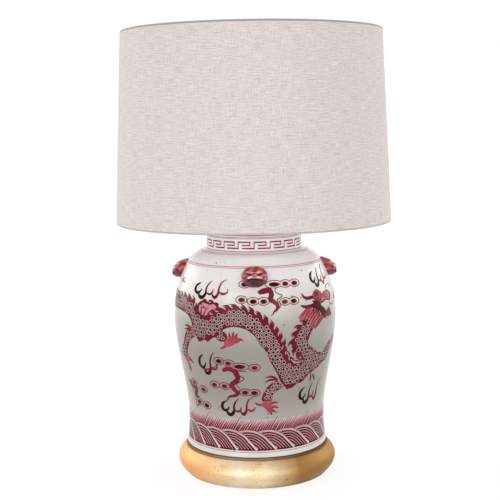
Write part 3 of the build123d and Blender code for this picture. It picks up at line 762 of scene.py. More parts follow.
def makeWaves():
    look = waveLook
    pitch = 2 * math.pi * look["radius"] / look["waves"]
    stretch = wrapRadius / look["radius"]
    arc = through([(x / 26.0 * pitch, y) for x, y in look["arc"]], 1.5)
    unit = Brush()

    def arcHeight(x):
        return np.interp(x, arc[:, 0], arc[:, 1])

    def onto(line):
        return [(x * stretch, look["base"] + y) for x, y in line]

    # the ground wash, up to the arcs
    columns = np.linspace(-pitch, 0, look["columns"])
    tops = np.maximum(arcHeight(columns - pitch), arcHeight(columns)) - 0.4
    rows = look["rows"]
    flat = onto([(x, top * row / (rows - 1)) for row in range(rows) for x, top in zip(columns, tops)])
    unit.add(flat, gridFaces(rows, len(columns)), look["ground"], 0.06)

    # lines inside the arc, kept clear of the wave in front
    inward = -alongAndLeft(arc)[1]
    for number in range(look["lines"]):
        for extra, width, ink in ((0.0, 1.3, look["dark"]), (1.7, 1.15, look["pale"])):
            away = look["firstLine"] + number * look["linePitch"] + extra
            line = arc + inward * away
            before = arcHeight(line[:, 0] + pitch) * (line[:, 0] < -pitch)
            clear = (line[:, 1] > 0.6) & ((line[:, 0] > -pitch) | (line[:, 1] > before + 2.2))
            clear &= (np.gradient(line[:, 0]) > 0.05)
            run = []
            for point, good in zip(line, clear):
                if good:
                    run.append(tuple(point))
                elif len(run) > 2:
                    break
                else:
                    run = []
            if len(run) > 3:
                unit.stroke(onto(run[::2] + [run[-1]]), [width * 0.7, width, width, width * 0.8], [ink], 0.11)
    unit.stroke(onto(arc[::2]), [look["arcWidth"] * part for part in (0.8, 1.0, 1.0, 0.9)], [1.0], 0.16)
    edge = arc + inward * (-look["arcWidth"] / 2)
    unit.stroke(onto(edge[2:-1:2]), [0.8], [0.42], 0.19)
    ringed("waveBand", unit, look["waves"])


makeWaves()

hatchLook = {"sections": 12, "low": 31.0, "high": 54.5, "pitch": 3.9, "lean": 16.0, "seed": 41}


def makeHatch():
    look = hatchLook
    chance = random.Random(look["seed"])
    width = 2 * math.pi * wrapRadius / look["sections"]
    unit = Brush()
    levels = [(look["low"], 0.74), (40.0, 0.77), (46.0, 0.82), (51.0, 0.90), (57.0, 0.985)]
    across = 16
    flat = [(width * a / (across - 1), v) for v, ink in levels for a in range(across)]
    inks = [ink for v, ink in levels for a in range(across)]
    unit.add(flat, gridFaces(len(levels), across), inks, 0.03)
    count = int(width / look["pitch"])
    for number in range(count):
        s = width * (number + chance.uniform(-0.14, 0.14)) / count
        top = look["high"] + chance.uniform(-1.5, 2.5) + (chance.uniform(2, 5) if chance.random() < 0.10 else 0)
        lean = look["lean"] + (top - look["high"]) * 0.6
        bend = chance.uniform(-1, 1)
        dark = chance.uniform(0.10, 0.28)
        line = [(s, look["low"]), (s + lean * 0.42 + bend, (look["low"] + top) / 2), (s + lean, top)]
        unit.stroke(line, [1.8, 1.9, 1.5, 0.5], [dark, dark + 0.05, 0.5], 0.065, step=3.5)
    ringed("hatchBand", unit, look["sections"])


makeHatch()
print("bands painted")


# the dragon

dragonLines = {
    "bodyTop": [
        (-214, 221), (-196, 227), (-176, 229), (-155, 228.5), (-136, 229), (-118.4, 229.3), (-102.7, 226),
        (-96.1, 217.8), (-88.7, 210.4), (-81.6, 205.5), (-74.2, 204.3), (-64.1, 208.4), (-54, 213.6), (-44.3, 217.6),
        (-32.7, 220.3), (-21.3, 220.2), (-10.1, 216.5), (-0.5, 212), (8.2, 207.1), (15.2, 200.4), (21.2, 194.5),
        (26.8, 187.3), (31.3, 179), (35.5, 169.4), (37.5, 160.8), (42.8, 151.3), (49.6, 142.8), (59.3, 136.6),
        (67.8, 135), (74.8, 139.8), (70.6, 148.6), (63.1, 154.4), (57, 164.7), (54.9, 169.9), (57.7, 178.9),
        (61.5, 186.6), (66.7, 191.7), (75, 197), (81.2, 200.2),
    ],
    "bodyLow": [
        (-214, 221), (-196, 216), (-176, 212.5), (-155.5, 211.4), (-129.6, 210.6), (-112.2, 207.4), (-103.1, 200.8),
        (-100.1, 195.2), (-99.7, 188.5), (-94.3, 180.6), (-88.2, 175.4), (-70.2, 177.4), (-56.7, 182.6),
        (-45.4, 191.6), (-37.2, 195.4), (-28, 196.5), (-19.1, 195.1), (-10.4, 191.6), (-0.8, 183.8), (3.4, 176.8),
        (8, 169.4), (14.5, 161), (19.1, 151.3), (22.8, 142.7), (27.8, 133.8), (33, 124.9), (39.9, 111), (51, 105.5),
        (62.1, 107), (73.7, 110), (85.7, 117.4), (99.5, 122.9), (109, 126.3), (118.9, 131.7), (130.1, 134.9),
        (115.1, 144.7), (99.1, 151.3), (85.8, 160.1), (79.2, 168.4), (81.6, 175.8), (85.5, 183.4), (88.6, 185.3),
    ],
    "fan": [
        (-85.1, 208.2), (-87.9, 216.5), (-87.2, 223.9), (-81.2, 228.3), (-72.4, 227.6), (-67.7, 226.3),
        (-62.7, 227.8), (-57.3, 226), (-54.2, 221.7), (-56.7, 217.6), (-62.4, 213.8), (-69.5, 209), (-76.4, 205.7),
        (-82.1, 206.3),
    ],
    "scallA": [
        (-92.1, 177.3), (-85.5, 172.8), (-76.8, 176.3), (-70.6, 174.6), (-62.8, 180.1), (-56.8, 182.4), (-53.8, 189.5)
    ],
    "scallB": [(43, 108), (50.8, 103.2), (59.8, 104.6), (64.5, 108.5), (74.1, 110), (82.9, 116.8), (89.2, 121.1)],
}
finLobes = [
    # place, and the way it faces in radians
    (-84, 222, 2.2), (-77, 227.5, 1.5), (-66.5, 227.5, 1.2), (-58, 224.5, 0.6), (-55.5, 218.5, 0.0),
]
finFlames = [
    [(-82, 212), (-81, 219), (-77, 223)], [(-77, 209.5), (-74, 216), (-68, 221)],
    [(-70, 211), (-66, 216), (-60, 220)],
    [(-64, 214.5), (-61, 217), (-57.5, 218)], [(-79, 222), (-75, 219), (-72, 221.5)],
]
limbLines = {
    "armFront": [
        (-58.2, 181.4), (-53.5, 187.8), (-44.4, 187.9), (-39.6, 181.8), (-41.1, 176.9), (-46.2, 174.2), (-52.2, 175)
    ],
    "armLow": [
        (32.2, 115.2), (41.2, 104.5), (31.7, 99.2), (25.7, 92.3), (23.3, 84.5), (10, 85.1), (10.2, 93.1),
        (15.1, 102.7), (22.7, 110.2),
    ],
    "legBack": [
        (-100.3, 187.2), (-93.6, 178.8), (-104.6, 171), (-112.2, 161.6), (-118.1, 152.4), (-120.2, 142.9),
        (-128.5, 137), (-137.1, 145.8), (-132.3, 157.8), (-127.4, 161.4), (-121.2, 172.1), (-114.4, 181),
    ],
    "armRight": [
        (109, 126.3), (118.9, 131.7), (130.1, 134.9), (138.8, 146), (144.7, 154.6), (152.7, 158.1), (138, 161.1),
        (127.2, 155.7), (115.1, 144.7),
    ],
}
palmLines = {
    "palmFront": [
        (-45, 172.8), (-40.3, 178.1), (-33, 180.1), (-26.1, 181.5), (-21.5, 178.8), (-21.9, 174.4), (-29.9, 170.7),
        (-37.1, 166.8), (-43, 167.7),
    ],
    "palmLow": [(10, 84.7), (23.3, 84.5), (24.6, 76.4), (26.3, 71.2), (21, 66.7), (14.1, 73.3), (10.2, 76.5)],
}
backPaw = [(-131, 143), (-121, 145), (-116, 139), (-122, 133), (-130, 136)]
toeLines = [
    # start, tip
    ((-34.2, 178.6), (-36, 187.7)), ((-30.1, 179.4), (-29.8, 189.2)), ((-26.7, 179.5), (-24.6, 186.8)),
    ((-24.6, 177.3), (-16.8, 176.6)), ((-41, 170.1), (-51.3, 163.7)), ((11.5, 79.5), (-2.5, 82.3)),
    ((22, 78.9), (35.3, 81.1)), ((23.5, 74), (36.3, 73.1)), ((22.7, 70.5), (31.5, 66)), ((20.1, 69.8), (25.4, 63)),
    ((-128, 143), (-144, 146.9)), ((-125.8, 138.9), (-117.6, 118.7)), ((-124, 140.9), (-110.7, 138.5)),
    ((-118, 138), (-106.7, 134)), ((-126.1, 137.1), (-121, 122)), ((147, 157), (160, 164)), ((145, 158), (150, 170)),
]
tuftLines = [
    [(13.7, 120.6), (23.4, 121.7), (32.8, 117)], [(12.8, 113.3), (21, 116.6), (32.8, 117)],
    [(-118.5, 189.4), (-110.2, 190.2), (-101.5, 188.2)], [(-119.7, 184), (-109.5, 185.9), (-101.5, 188.2)],
    [(96, 117), (101, 112), (104, 106)], [(92, 119), (94, 112), (93, 106)],
]
headLines = {
    "mane": [
        (75.9, 216.7), (83.9, 217.3), (90.4, 214.4), (96.1, 211.1), (102, 208.2), (108.1, 201.1), (111.7, 199.5),
        (106.3, 195.3), (98.1, 189.9), (91.3, 186.3), (86.2, 189.1), (82.2, 195.3), (80.4, 201.1), (70.4, 200.8),
        (66.2, 201.3), (62.8, 205.2), (66, 209.4), (71.1, 213.3),
    ],
    "skull": [
        (92.9, 234.8), (96.3, 238.5), (102, 240.8), (107.5, 239.1), (112, 235.9), (114.8, 232.9), (112.5, 229.1),
        (116.3, 225.5), (118.7, 223.1), (109.2, 220.4), (104.8, 224.6), (98.5, 225.4), (93.4, 227.7), (92.5, 230.8),
    ],
    "nose": [
        (113.6, 232), (120, 235.3), (130.1, 236.4), (137.7, 234.7), (142.8, 229.7), (142.1, 225.6), (136.8, 221.8),
        (126.6, 223.4), (118.7, 223.1), (114.7, 227.2),
    ],
    "hair": [
        (88.8, 226.7), (95.3, 225.6), (104.8, 224.3), (108.7, 217.9), (116.2, 212.6), (119.5, 208), (116.8, 203.8),
        (110.9, 200.2), (106.8, 205.4), (104, 210.9), (100.4, 207.9), (99.3, 212.6), (96.6, 210), (94.9, 214.3),
        (90.4, 214.9), (87.4, 218.3), (85.8, 221.5), (91.7, 222.8),
    ],
    "jaw": [
        (115.7, 209.1), (122.8, 207.5), (126.5, 210), (132.8, 208.9), (134.7, 203.9), (137.1, 200.9), (128.8, 199.2),
        (125.2, 199.3), (121.9, 200.9), (116.5, 198.7), (110.9, 200.2), (114, 204.3),
    ],
}
headStrokes = [
    # line, widths, inks
    (
        [(132.2, 235.5), (137.4, 231.6), (138.8, 227.2), (136.7, 223.3), (131.2, 222.1)], [1.2, 3.0, 3.4, 2.4, 1.2],
        [0.42, 0.36],
    ),
    (
        [(104.4, 218.5), (109.3, 220.9), (115.4, 222), (122.1, 223.6), (131.2, 222.1), (136, 221)],
        [1.2, 2.4, 2.2, 2.2, 1.8, 0.8], [0.14],
    ),
    (
        [(97.7, 235.2), (101.6, 237), (105.2, 235.3), (103.7, 232.9), (99.5, 232.9), (97.7, 235.2)], [1.3, 1.6, 1.3],
        [0.22],
    ),
    ([(99.3, 232.5), (103.5, 232.7), (106.5, 230.5), (104.1, 228.2), (99.1, 228.9)], [1.0, 1.6, 1.3], [0.26]),
    ([(113.6, 232), (118, 231), (122, 233)], [0.9, 1.4, 0.8], [0.4]),
    ([(120, 229), (126, 231), (131, 229)], [0.8, 1.3, 0.8], [0.5]),
    ([(108, 236.5), (111, 232.5), (109.5, 228.5)], [0.8, 1.3, 0.8], [0.42]),
    ([(122, 226.2), (129, 227), (134, 225)], [0.8, 1.4, 0.8], [0.5]),
    ([(132.2, 235.5), (129.2, 239.7), (133.1, 243.3), (140.1, 244.2), (151.1, 240.4)], [1.0, 1.4, 1.2, 0.6], [0.36]),
    (
        [(141.7, 225.1), (135.9, 221.4), (133.9, 218.1), (138.5, 214.2), (148, 215.2), (154.6, 218.3)],
        [1.0, 1.3, 1.4, 1.2, 0.7], [0.36],
    ),
    ([(125.2, 199.3), (125, 194.2)], [1.8, 0.6], [0.4]), ([(132.8, 199.6), (138.4, 196.5)], [1.8, 0.6], [0.4]),
    ([(130.3, 208.8), (131.4, 214)], [2.2, 0.8], [0.3]),
    ([(119, 199.6), (117.6, 195)], [1.8, 0.6], [0.45]),
    ([(112.8, 199.3), (105.3, 194.9), (98.1, 189.9), (92.1, 185.7)], [0.8, 1.6, 1.6, 1.2], [0.34]),
]
headSpots = [
    # place, half width, ink
    (101, 235.2, 1.3, 0.05), (108.6, 225.6, 1.7, 0.1), (114.6, 225.6, 1.6, 0.92), (116, 216.6, 2.6, 0.97),
    (123, 217.8, 3.2, 0.97),
]
hornLines = [
    [(71.6, 238.6), (73.9, 234.5), (77.9, 231.6), (84.6, 230.8), (93.5, 231.6)],
    [(67.6, 222), (73.5, 219.6), (80, 219), (90.5, 219.4)],
]
dragonLook = {
    "bodyInk": 0.38, "edgeInk": 0.24, "crestInk": 0.32, "palmInk": 0.68, "scaleAlong": 6.4, "scaleUp": 5.3,
    "haloRadius": 0.00284, "spotRadius": 0.00196, "seed": 7,
    # round and up in mm: the field of scales, and the fin that the crest leaves free
    "field": ((-212.0, 154), (84.0, 236)), "finGap": ((-92, -58), 200),
    # in mm: from one flame of the crest to the next, how far it leans back, how tall it is
    "flameStep": (9.5, 12.0), "flameBack": (6, 9), "flameTall": (6.5, 8.5), "tresses": 13,
}


def bodyRing():
    top = through(dragonLines["bodyTop"], 3.0)
    low = through(dragonLines["bodyLow"], 3.0)
    return np.concatenate([top, low[::-1][:-1]])


def makeBody():
    look = dragonLook
    brush = Brush()
    brush.fill(bodyRing(), look["bodyInk"], 0.07, smooth=False)
    for outline in limbLines.values():
        brush.fill(outline, look["bodyInk"] + 0.02, 0.07, 2.5)
        brush.stroke(closed(outline), [0.9], [look["edgeInk"] + 0.1], 0.12)
    brush.stroke(dragonLines["bodyLow"], [0.8, 1.2, 1.2, 1.0], [look["edgeInk"]], 0.12)
    brush.fill(dragonLines["fan"], 0.84, 0.10, 2.5)
    brush.stroke(closed(dragonLines["fan"]), [2.6, 3.4, 2.6, 2.0], [look["edgeInk"] + 0.08], 0.14)
    for x, y, turn in finLobes:
        lobe = [(x + 4.2 * math.cos(turn + a), y + 3.4 * math.sin(turn + a)) for a in (-1.5, -0.75, 0, 0.75, 1.5)]
        brush.stroke(lobe, [1.2, 3.0, 3.6, 3.0, 1.2], [look["crestInk"]], 0.15)
    for flame in finFlames:
        brush.stroke(flame, [2.6, 1.8, 0.7], [0.34, 0.5], 0.155)
    for key in ("scallA", "scallB"):
        brush.stroke(dragonLines[key], [2.4, 4.8, 4.2, 4.6, 2.2], [look["crestInk"]], 0.14)
        for x, y in dragonLines[key][1:-1:2]:
            tip = [(x - 4.6, y + 3), (x - 1, y - 1.6), (x + 4, y + 1.2)]
            brush.stroke(tip, [1.4, 3.6, 1.4], [look["crestInk"] + 0.06], 0.15)
    onLamp(brush.mirrored().piece("dragonBody"))


makeBody()


def scaleSpots(name, ink, radius, sides, lift, spread):
    # a staggered lattice of points inside the dragon, then a spot on each by Geometry Nodes
    look = dragonLook
    chance = random.Random(look["seed"])
    ring = bodyRing()
    limbs = [through(closed(line), 2.0)[:-1] for line in limbLines.values()]
    spots = []
    row = 0
    (left, right), (v, top) = look["field"]
    while v < top:
        s = left + (row % 2) * look["scaleAlong"] / 2
        while s < right:
            spots.append((s + chance.uniform(-0.5, 0.5), v + chance.uniform(-0.4, 0.4)))
            s += look["scaleAlong"]
        v += look["scaleUp"]
        row += 1
    spots = np.array(spots)
    held = inside(spots, ring, 2.0)
    for limb in limbs:
        held |= inside(spots, limb, 1.5)
    spots = spots[held]
    places = onJar(spots[:, 0], spots[:, 1], lift)
    faces = faceAt(spots[:, 0], spots[:, 1])
    sizes = np.array([chance.uniform(1 - spread, 1 + spread) for _ in spots])
    places = np.concatenate([places, places * (-1, -1, 1)])
    faces = np.concatenate([faces, faces * (-1, -1, 1)])
    sizes = np.concatenate([sizes, sizes])
    thing = newThing(name, places, [])
    pointValues(thing, "facing", faces, "FLOAT_VECTOR")
    pointValues(thing, "size", sizes)
    grown(thing, spotsOnPoints, inkFine, Sides=sides, Radius=radius, Ink=ink)
    thing.data.polygons.foreach_set("use_smooth", [True] * len(thing.data.polygons))
    thing.data.update()
    onLamp(thing)


scaleSpots("scalePlates", 0.94, dragonLook["haloRadius"], 7, 0.16, 0.12)
scaleSpots("scaleDots", 0.0, dragonLook["spotRadius"], 7, 0.22, 0.22)


def makeCrest():
    look = dragonLook
    chance = random.Random(look["seed"] + 1)
    brush = Brush()
    run = through(dragonLines["bodyTop"], 1.0)
    way, out = alongAndLeft(run)
    band = run[::5] + out[::5] * 2.0
    brush.stroke(band, [1.5, 5.2, 5.8, 6.0, 5.6, 4.2], [look["crestInk"] + 0.05, look["crestInk"]], 0.18)
    length = np.concatenate([[0], np.cumsum(np.linalg.norm(np.diff(run, axis=0), axis=1))])
    (gapLeft, gapRight), gapLow = look["finGap"]
    at = 20.0
    while at < length[-1] - 6:
        i = int(np.searchsorted(length, at))
        if not (gapLeft < run[i][0] < gapRight and run[i][1] > gapLow):
            root, along, away = run[i], way[i], out[i]
            tip = root - along * chance.uniform(*look["flameBack"]) + away * chance.uniform(*look["flameTall"])
            middle = root - along * 0.8 + away * 5.6
            flame = [root + along * 2.8 + away * 0.5, middle, tip]
            brush.stroke(flame, [5.2, 4.2, 0.5], [look["crestInk"], look["crestInk"] + 0.08, 0.42], 0.17)
            flick = root - along * 5.0 + away * 2.5
            bare = [flick + along * 1.5 - away * 0.6, flick, flick - along * 3.0 + away * 2.0]
            brush.stroke(bare, [0.7, 1.8, 0.6], [0.98], 0.21)
        at += chance.uniform(*look["flameStep"])
    # the curled part of the crest where the neck meets the back
    brush.stroke([(52, 146), (58, 141), (66, 139.5), (71, 142)], [1.0, 2.2, 2.0, 1.0], [0.97], 0.215)
    brush.stroke([(45, 157), (50, 149.5)], [1.6, 0.8], [0.97], 0.215)
    onLamp(brush.mirrored().piece("dragonCrest"))


makeCrest()


def makeHead():
    look = dragonLook
    chance = random.Random(look["seed"] + 2)
    brush = Brush()
    brush.fill(headLines["mane"], 0.68, 0.19)
    for number in range(look["tresses"]):
        t = number / (look["tresses"] - 1)
        root = np.array((65.5 + 25.5 * t, 203.5 - 15 * t)) + (2.0, 0)
        tip = np.array((78 + 30 * t, 215.5 - 13.5 * t))
        middle = (root + tip) / 2 + (-0.8, 0.8)
        pale = number % 2
        brush.stroke([root, middle, tip], [0.7, 1.5, 1.0], [0.82, 0.76] if pale else [0.50, 0.40], 0.215)
    brush.fill(headLines["jaw"], 0.46, 0.22)
    brush.fill(headLines["hair"], 0.22, 0.225)
    brush.fill(headLines["skull"], 0.66, 0.23)
    brush.fill(headLines["nose"], 0.70, 0.235)
    for key, ink in (("skull", 0.5), ("nose", 0.46), ("jaw", 0.3)):
        brush.stroke(closed(headLines[key]), [1.1], [ink], 0.25)
    for horn in hornLines:
        brush.stroke(horn, [1.6, 4.0, 5.0, 5.2, 4.6], [0.3, 0.42, 0.44, 0.2], 0.24)
    for line, widths, inks in headStrokes:
        brush.stroke(line, widths, inks, 0.262, step=1.5)
    for s, v, wide, ink in headSpots:
        brush.spot(s, v, wide, wide * 0.8, ink, 0.275, 12)
    for number in range(5):
        root = np.array((92 + 4.5 * number, 215 - 1.5 * number))
        tip = root + (-3.0 + chance.uniform(-0.5, 0.5), -7.5 + chance.uniform(-1, 1))
        brush.stroke([root, (root + tip) / 2 + (-0.6, 0.6), tip], [2.8, 2.0, 0.6], [0.16, 0.3], 0.237)
    onLamp(brush.mirrored().piece("dragonHead"))


makeHead()


def makeFeet():
    look = dragonLook
    brush = Brush()
    for outline in palmLines.values():
        brush.fill(outline, look["palmInk"], 0.17, 2.5)
    for start, tip in toeLines:
        start, tip = np.array(start), np.array(tip)
        way = tip - start
        side = np.array((-way[1], way[0])) * 0.12
        toe = [start - way * 0.25, start + way * 0.45 + side, tip]
        brush.stroke(toe, [4.6, 4.2, 1.2], [look["palmInk"], 0.64, 0.42], 0.19, step=1.6)
    for tuft in tuftLines:
        brush.stroke(tuft, [0.8, 3.6, 2.6], [look["crestInk"] + 0.08], 0.18)
    brush.fill(backPaw, look["palmInk"] - 0.12, 0.17, 2.5)
    onLamp(brush.mirrored().piece("dragonFeet"))


makeFeet()
print("dragon painted")


# clouds and flame scrolls

cloudLook = {
    "ribbons": [
        [
            (5, 243), (6, 243.9), (12.8, 246), (20.8, 246.8), (24.2, 241.3), (22, 234.1), (26.9, 230.6), (32.2, 225),
            (30, 218.9), (26.5, 216.6), (25, 213.4), (22.1, 211.3),
        ],
        [
            (-50.7, 129.8), (-42, 133.6), (-33.5, 131.7), (-28.8, 124.8), (-28.1, 117.5), (-37.9, 108.6),
            (-32.2, 100), (-28.5, 96.3), (-34, 92.5), (-43.3, 90.5), (-46.8, 85.3), (-51.3, 82.6),
        ],
        [(-133, 104), (-124, 98), (-112, 93), (-116, 84), (-108, 78), (-112, 70), (-120, 64)],
    ],
    "lines": [
        [
            (32.2, 249.9), (29.3, 245.3), (34, 241.7), (39.7, 238.1), (32, 232.8), (36.3, 227.2), (34.8, 221.7),
            (30, 219.2),
        ],
        [
            (-13.2, 129.9), (-23.9, 130.9), (-28.8, 129.1), (-26.1, 124.4), (-18.3, 118.8), (-29.9, 110),
            (-25.2, 103.8), (-26.8, 99.1),
        ],
        [(-129.6, 103.9), (-117.6, 98.8), (-105.7, 95.4)], [(-128.4, 96.6), (-120.6, 83.3), (-120, 65.9)],
    ],
    "beads": [
        (29.1, 255.2), (46.9, 255.2), (62.5, 255.2), (12.2, 231.7), (43.5, 230), (57.4, 230), (-19.3, 234.2),
        (-2.8, 232), (-15.2, 256.1), (-55.7, 144.3), (-40.1, 141.9), (-23.5, 137.8), (-2, 136.3), (-67.2, 106.8),
        (-50.1, 106.2), (-17, 98.2), (-2.7, 97.7), (-93.6, 95.6), (-90, 71.5), (-116, 102.8), (-108.2, 74.5),
    ],
    "long": {(29.1, 255.2): 1.5, (-23.5, 137.8): 1.6},
    "bead": (8.7, 6.0), "beadInks": (0.06, 0.12, 0.2, 0.3), "seed": 19,
}


def makeClouds():
    look = cloudLook
    chance = random.Random(look["seed"])
    ribbons = Brush()
    for line in look["ribbons"]:
        ribbons.stroke(line, [5.0, 8.2, 8.6, 7.0, 7.4, 6.2, 5.2, 3.0, 1.0], [0.46, 0.42, 0.36, 0.46, 0.4, 0.44], 0.10)
    for line in look["lines"]:
        ribbons.stroke(line, [1.0, 1.5, 1.3, 0.9], [0.28, 0.36], 0.10)
    beads = Brush()
    for s, v in look["beads"]:
        longer = look["long"].get((s, v), 1.0)
        wide, tall = look["bead"][0] * longer, look["bead"][1]
        drop = chance.uniform(-0.6, 0.6)
        beads.spot(s, v, wide, tall, 0.40, 0.12, 24)
        beads.spot(s, v, wide - 1.3, tall - 1.2, 1.0, 0.15, 24)
        dark = chance.choice(look["beadInks"])
        beads.spot(s + drop, v - 0.4, (wide - 1.1) * 0.66, (tall - 1.0) * 0.70, dark + 0.36, 0.18, 18)
        beads.spot(s + drop - 0.6, v - 0.2, (wide - 1.1) * 0.46, (tall - 1.0) * 0.52, dark, 0.21, 14)
    onLamp(ribbons.mirrored().piece("cloudRibbons"))
    onLamp(beads.mirrored().piece("cloudBeads", inkFine))


makeClouds()

scrollLook = {
    "centre": (-67.2, 246.2),
    "strokes": [
        # line, widths, inks
        (
            [(-89, 255.2), (-97.3, 250.3), (-98.7, 243.4), (-93.3, 239.9), (-87.9, 242.5), (-85.5, 246.4)],
            [1.0, 3.0, 3.8, 3.4, 2.6, 1.2], [0.22, 0.03, 0.03, 0.12],
        ),
        (
            [
                (-91.5, 240.1), (-87, 234.8), (-81.4, 234.8), (-77, 240.1), (-76.8, 246), (-75.1, 251.9),
                (-68.6, 259.3),
            ],
            [1.8, 4.2, 4.0, 2.8, 2.2, 1.8, 0.8], [0.03, 0.06, 0.25, 0.42],
        ),
        ([(-75.9, 241.5), (-69.7, 239.7), (-65.1, 242.4), (-64.2, 247.2)], [1.2, 2.6, 2.2, 0.9], [0.35, 0.42]),
        (
            [
                (-65.6, 240), (-60.6, 235.6), (-56, 239.6), (-54.8, 245.3), (-54.2, 251), (-50.6, 258.1),
                (-43.3, 261.8),
            ],
            [1.4, 3.8, 3.0, 2.4, 2.0, 1.6, 0.8], [0.3, 0.4, 0.5, 0.62],
        ),
        ([(-55.2, 243.9), (-47.1, 241.2), (-41.1, 243.7), (-40.2, 247.1)], [1.2, 3.2, 2.6, 0.9], [0.55, 0.66]),
    ],
    "tail": [(-92, 132), (-82, 128.5), (-72, 131), (-63, 134.5), (-60, 139)],
    "star": [((-157.6, 254.6), (-131.4, 250.8)), ((-147, 258), (-141.5, 248.2)), ((-150, 250), (-136.7, 257.4))],
    # centre, width against the first, height against the first, strokes used
    "places": [
        ((-67.2, 246.2), 1.0, 1.0, 5), ((121.9, 258.8), 0.8, 1.05, 5), ((-75.9, 139.2), 0.95, 1.35, 3),
        ((-27.6, 75), 0.95, 1.0, 5), ((103, 88.4), 0.9, 1.15, 4),
    ],
}


def makeScrolls():
    look = scrollLook
    brush = Brush()
    cx, cy = look["centre"]
    for (s, v), wide, tall, used in look["places"]:
        shift = 15.0 if used < 4 else 0.0
        for line, widths, inks in look["strokes"][:used]:
            moved = [(s + (x - cx + shift) * wide, v + (y - cy) * tall) for x, y in line]
            brush.stroke(moved, [wider * 1.3 for wider in widths], inks, 0.12, step=1.4)
    brush.stroke(look["tail"], [1.0, 2.6, 3.0, 2.2, 0.8], [0.45, 0.6], 0.12)
    for ends in look["star"]:
        brush.stroke(ends, [1.4, 2.4], [0.7], 0.12)
    onLamp(brush.mirrored().piece("flameScrolls", inkFine))


makeScrolls()
print("clouds painted")


# four lion masks in relief

maskLook = {
    "rows": 34, "turns": 84, "tall": 14.6, "wide": 18.8, "bury": 1.2, "clear": 0.15, "corner": 2.6, "curls": 8,
    # the dome's height and how it leans, the bumps' share, the mouth's groove, the row of curls
    "dome": (0.86, 0.10), "relief": 0.55, "lips": (0.13, 0.13), "curlRow": (0.76, 0.2, 0.07),
    # place (x, y), reach, height: bumps and hollows on a face 2 wide and 2 tall
    "bumps": [
        ((0.0, 0.20), (0.13, 0.12), 0.16), ((-0.20, 0.04), (0.19, 0.12), 0.20), ((0.20, 0.04), (0.19, 0.12), 0.20),
        ((-0.32, 0.50), (0.22, 0.09), 0.22), ((0.32, 0.50), (0.22, 0.09), 0.22), ((-0.36, 0.30), (0.13, 0.09), -0.30),
        ((0.36, 0.30), (0.13, 0.09), -0.30), ((-0.36, 0.30), (0.06, 0.05), 0.22), ((0.36, 0.30), (0.06, 0.05), 0.22),
        ((0.0, 0.66), (0.16, 0.12), 0.14), ((-0.66, 0.02), (0.12, 0.20), 0.14), ((0.66, 0.02), (0.12, 0.20), 0.14),
        ((0.0, -0.42), (0.34, 0.24), 0.10),
    ],
    "mouth": ((0.0, -0.42), (0.56, 0.40)),
    # place on the right side, reach, ink: eye, pupil, brow, a painted highlight on the muzzle beside the nose,
    # nostril
    "patches": [
        ((0.36, 0.30), (0.17, 0.12), 0.30), ((0.36, 0.30), (0.08, 0.07), 0.02), ((0.32, 0.51), (0.28, 0.08), 0.90),
        ((0.22, 0.04), (0.24, 0.13), 1.0), ((0.09, 0.15), (0.05, 0.04), 0.15),
    ],
}


def maskRed():
    bench = Bench("maskRed")
    place = bench.objectPlace()
    ink = bench.inkDepth()
    pooling = bench.noise(place, 210.0, 3.0) - 0.5
    colour = bench.ramp(
        ink + pooling * 0.6,
        (0.0, tint(46, 3, 14)), (0.28, tint(88, 12, 28)), (0.5, tint(138, 34, 50)), (0.70, tint(186, 76, 88)),
        (0.86, tint(226, 152, 158)), (1.0, tint(246, 222, 222)),
    )
    normal = bench.bump(bench.noise(place, 420.0, 2.0), 0.3, 0.0008)
    rough = 0.10 + bench.noise(place, 60.0, 2.0) * 0.10
    return bench.done(
        Base_Color=colour, Roughness=rough, Normal=normal, Specular_IOR_Level=0.35, Coat_Weight=0.25,
        Coat_Roughness=0.08,
    )


maskGlaze = maskRed()


def mouthReach(x, y):
    (cx, cy), (rx, ry) = maskLook["mouth"]
    return math.hypot((x - cx) / rx, (y - cy) / ry)


def maskHeight(x, y):
    rho = min(1.0, math.hypot(x, y))
    calm = 1 - rho**5
    full, lean = maskLook["dome"]
    high = (1 - rho**3) ** 0.5 * (full - lean * y)
    for (cx, cy), (rx, ry), gain in maskLook["bumps"]:
        high += gain * maskLook["relief"] * math.exp(-(((x - cx) / rx) ** 2 + ((y - cy) / ry) ** 2) / 2) * calm
    deep, wide = maskLook["lips"]
    high -= deep * math.exp(-(((mouthReach(x, y) - 1) / wide) ** 2)) * calm
    if y > -0.3:
        where, wide, tall = maskLook["curlRow"]
        curl = max(0.0, 1 - abs(rho - where) / wide)
        high += tall * curl * math.cos(maskLook["curls"] * math.atan2(y, x) + 5 * rho)
    return high


def maskInk(x, y):
    rho = math.hypot(x, y)
    angle = math.atan2(y, x)
    ink = 0.70 + 0.10 * math.cos(5 * angle) * rho
    if rho > 0.55:
        ink = 0.60 + 0.13 * math.cos(maskLook["curls"] * angle + 5 * rho) - 0.34 * max(0.0, -y)
    for side in (-1, 1):
        # the patches paint eyes, brows and nostrils, and a painted highlight on each side of the muzzle
        for (cx, cy), (rx, ry), depth in maskLook["patches"]:
            if math.hypot((x - cx * side) / rx, (y - cy) / ry) < 1:
                ink = depth
    mouth = mouthReach(x, y)
    if mouth < 1.16:
        ink = 0.10 + 0.10 * min(1.0, max(0.0, (-0.45 - y) * 4)) if mouth < 0.95 else 0.34
    elif y < -0.3:
        ink = 0.42
    return min(1.0, max(0.0, ink))


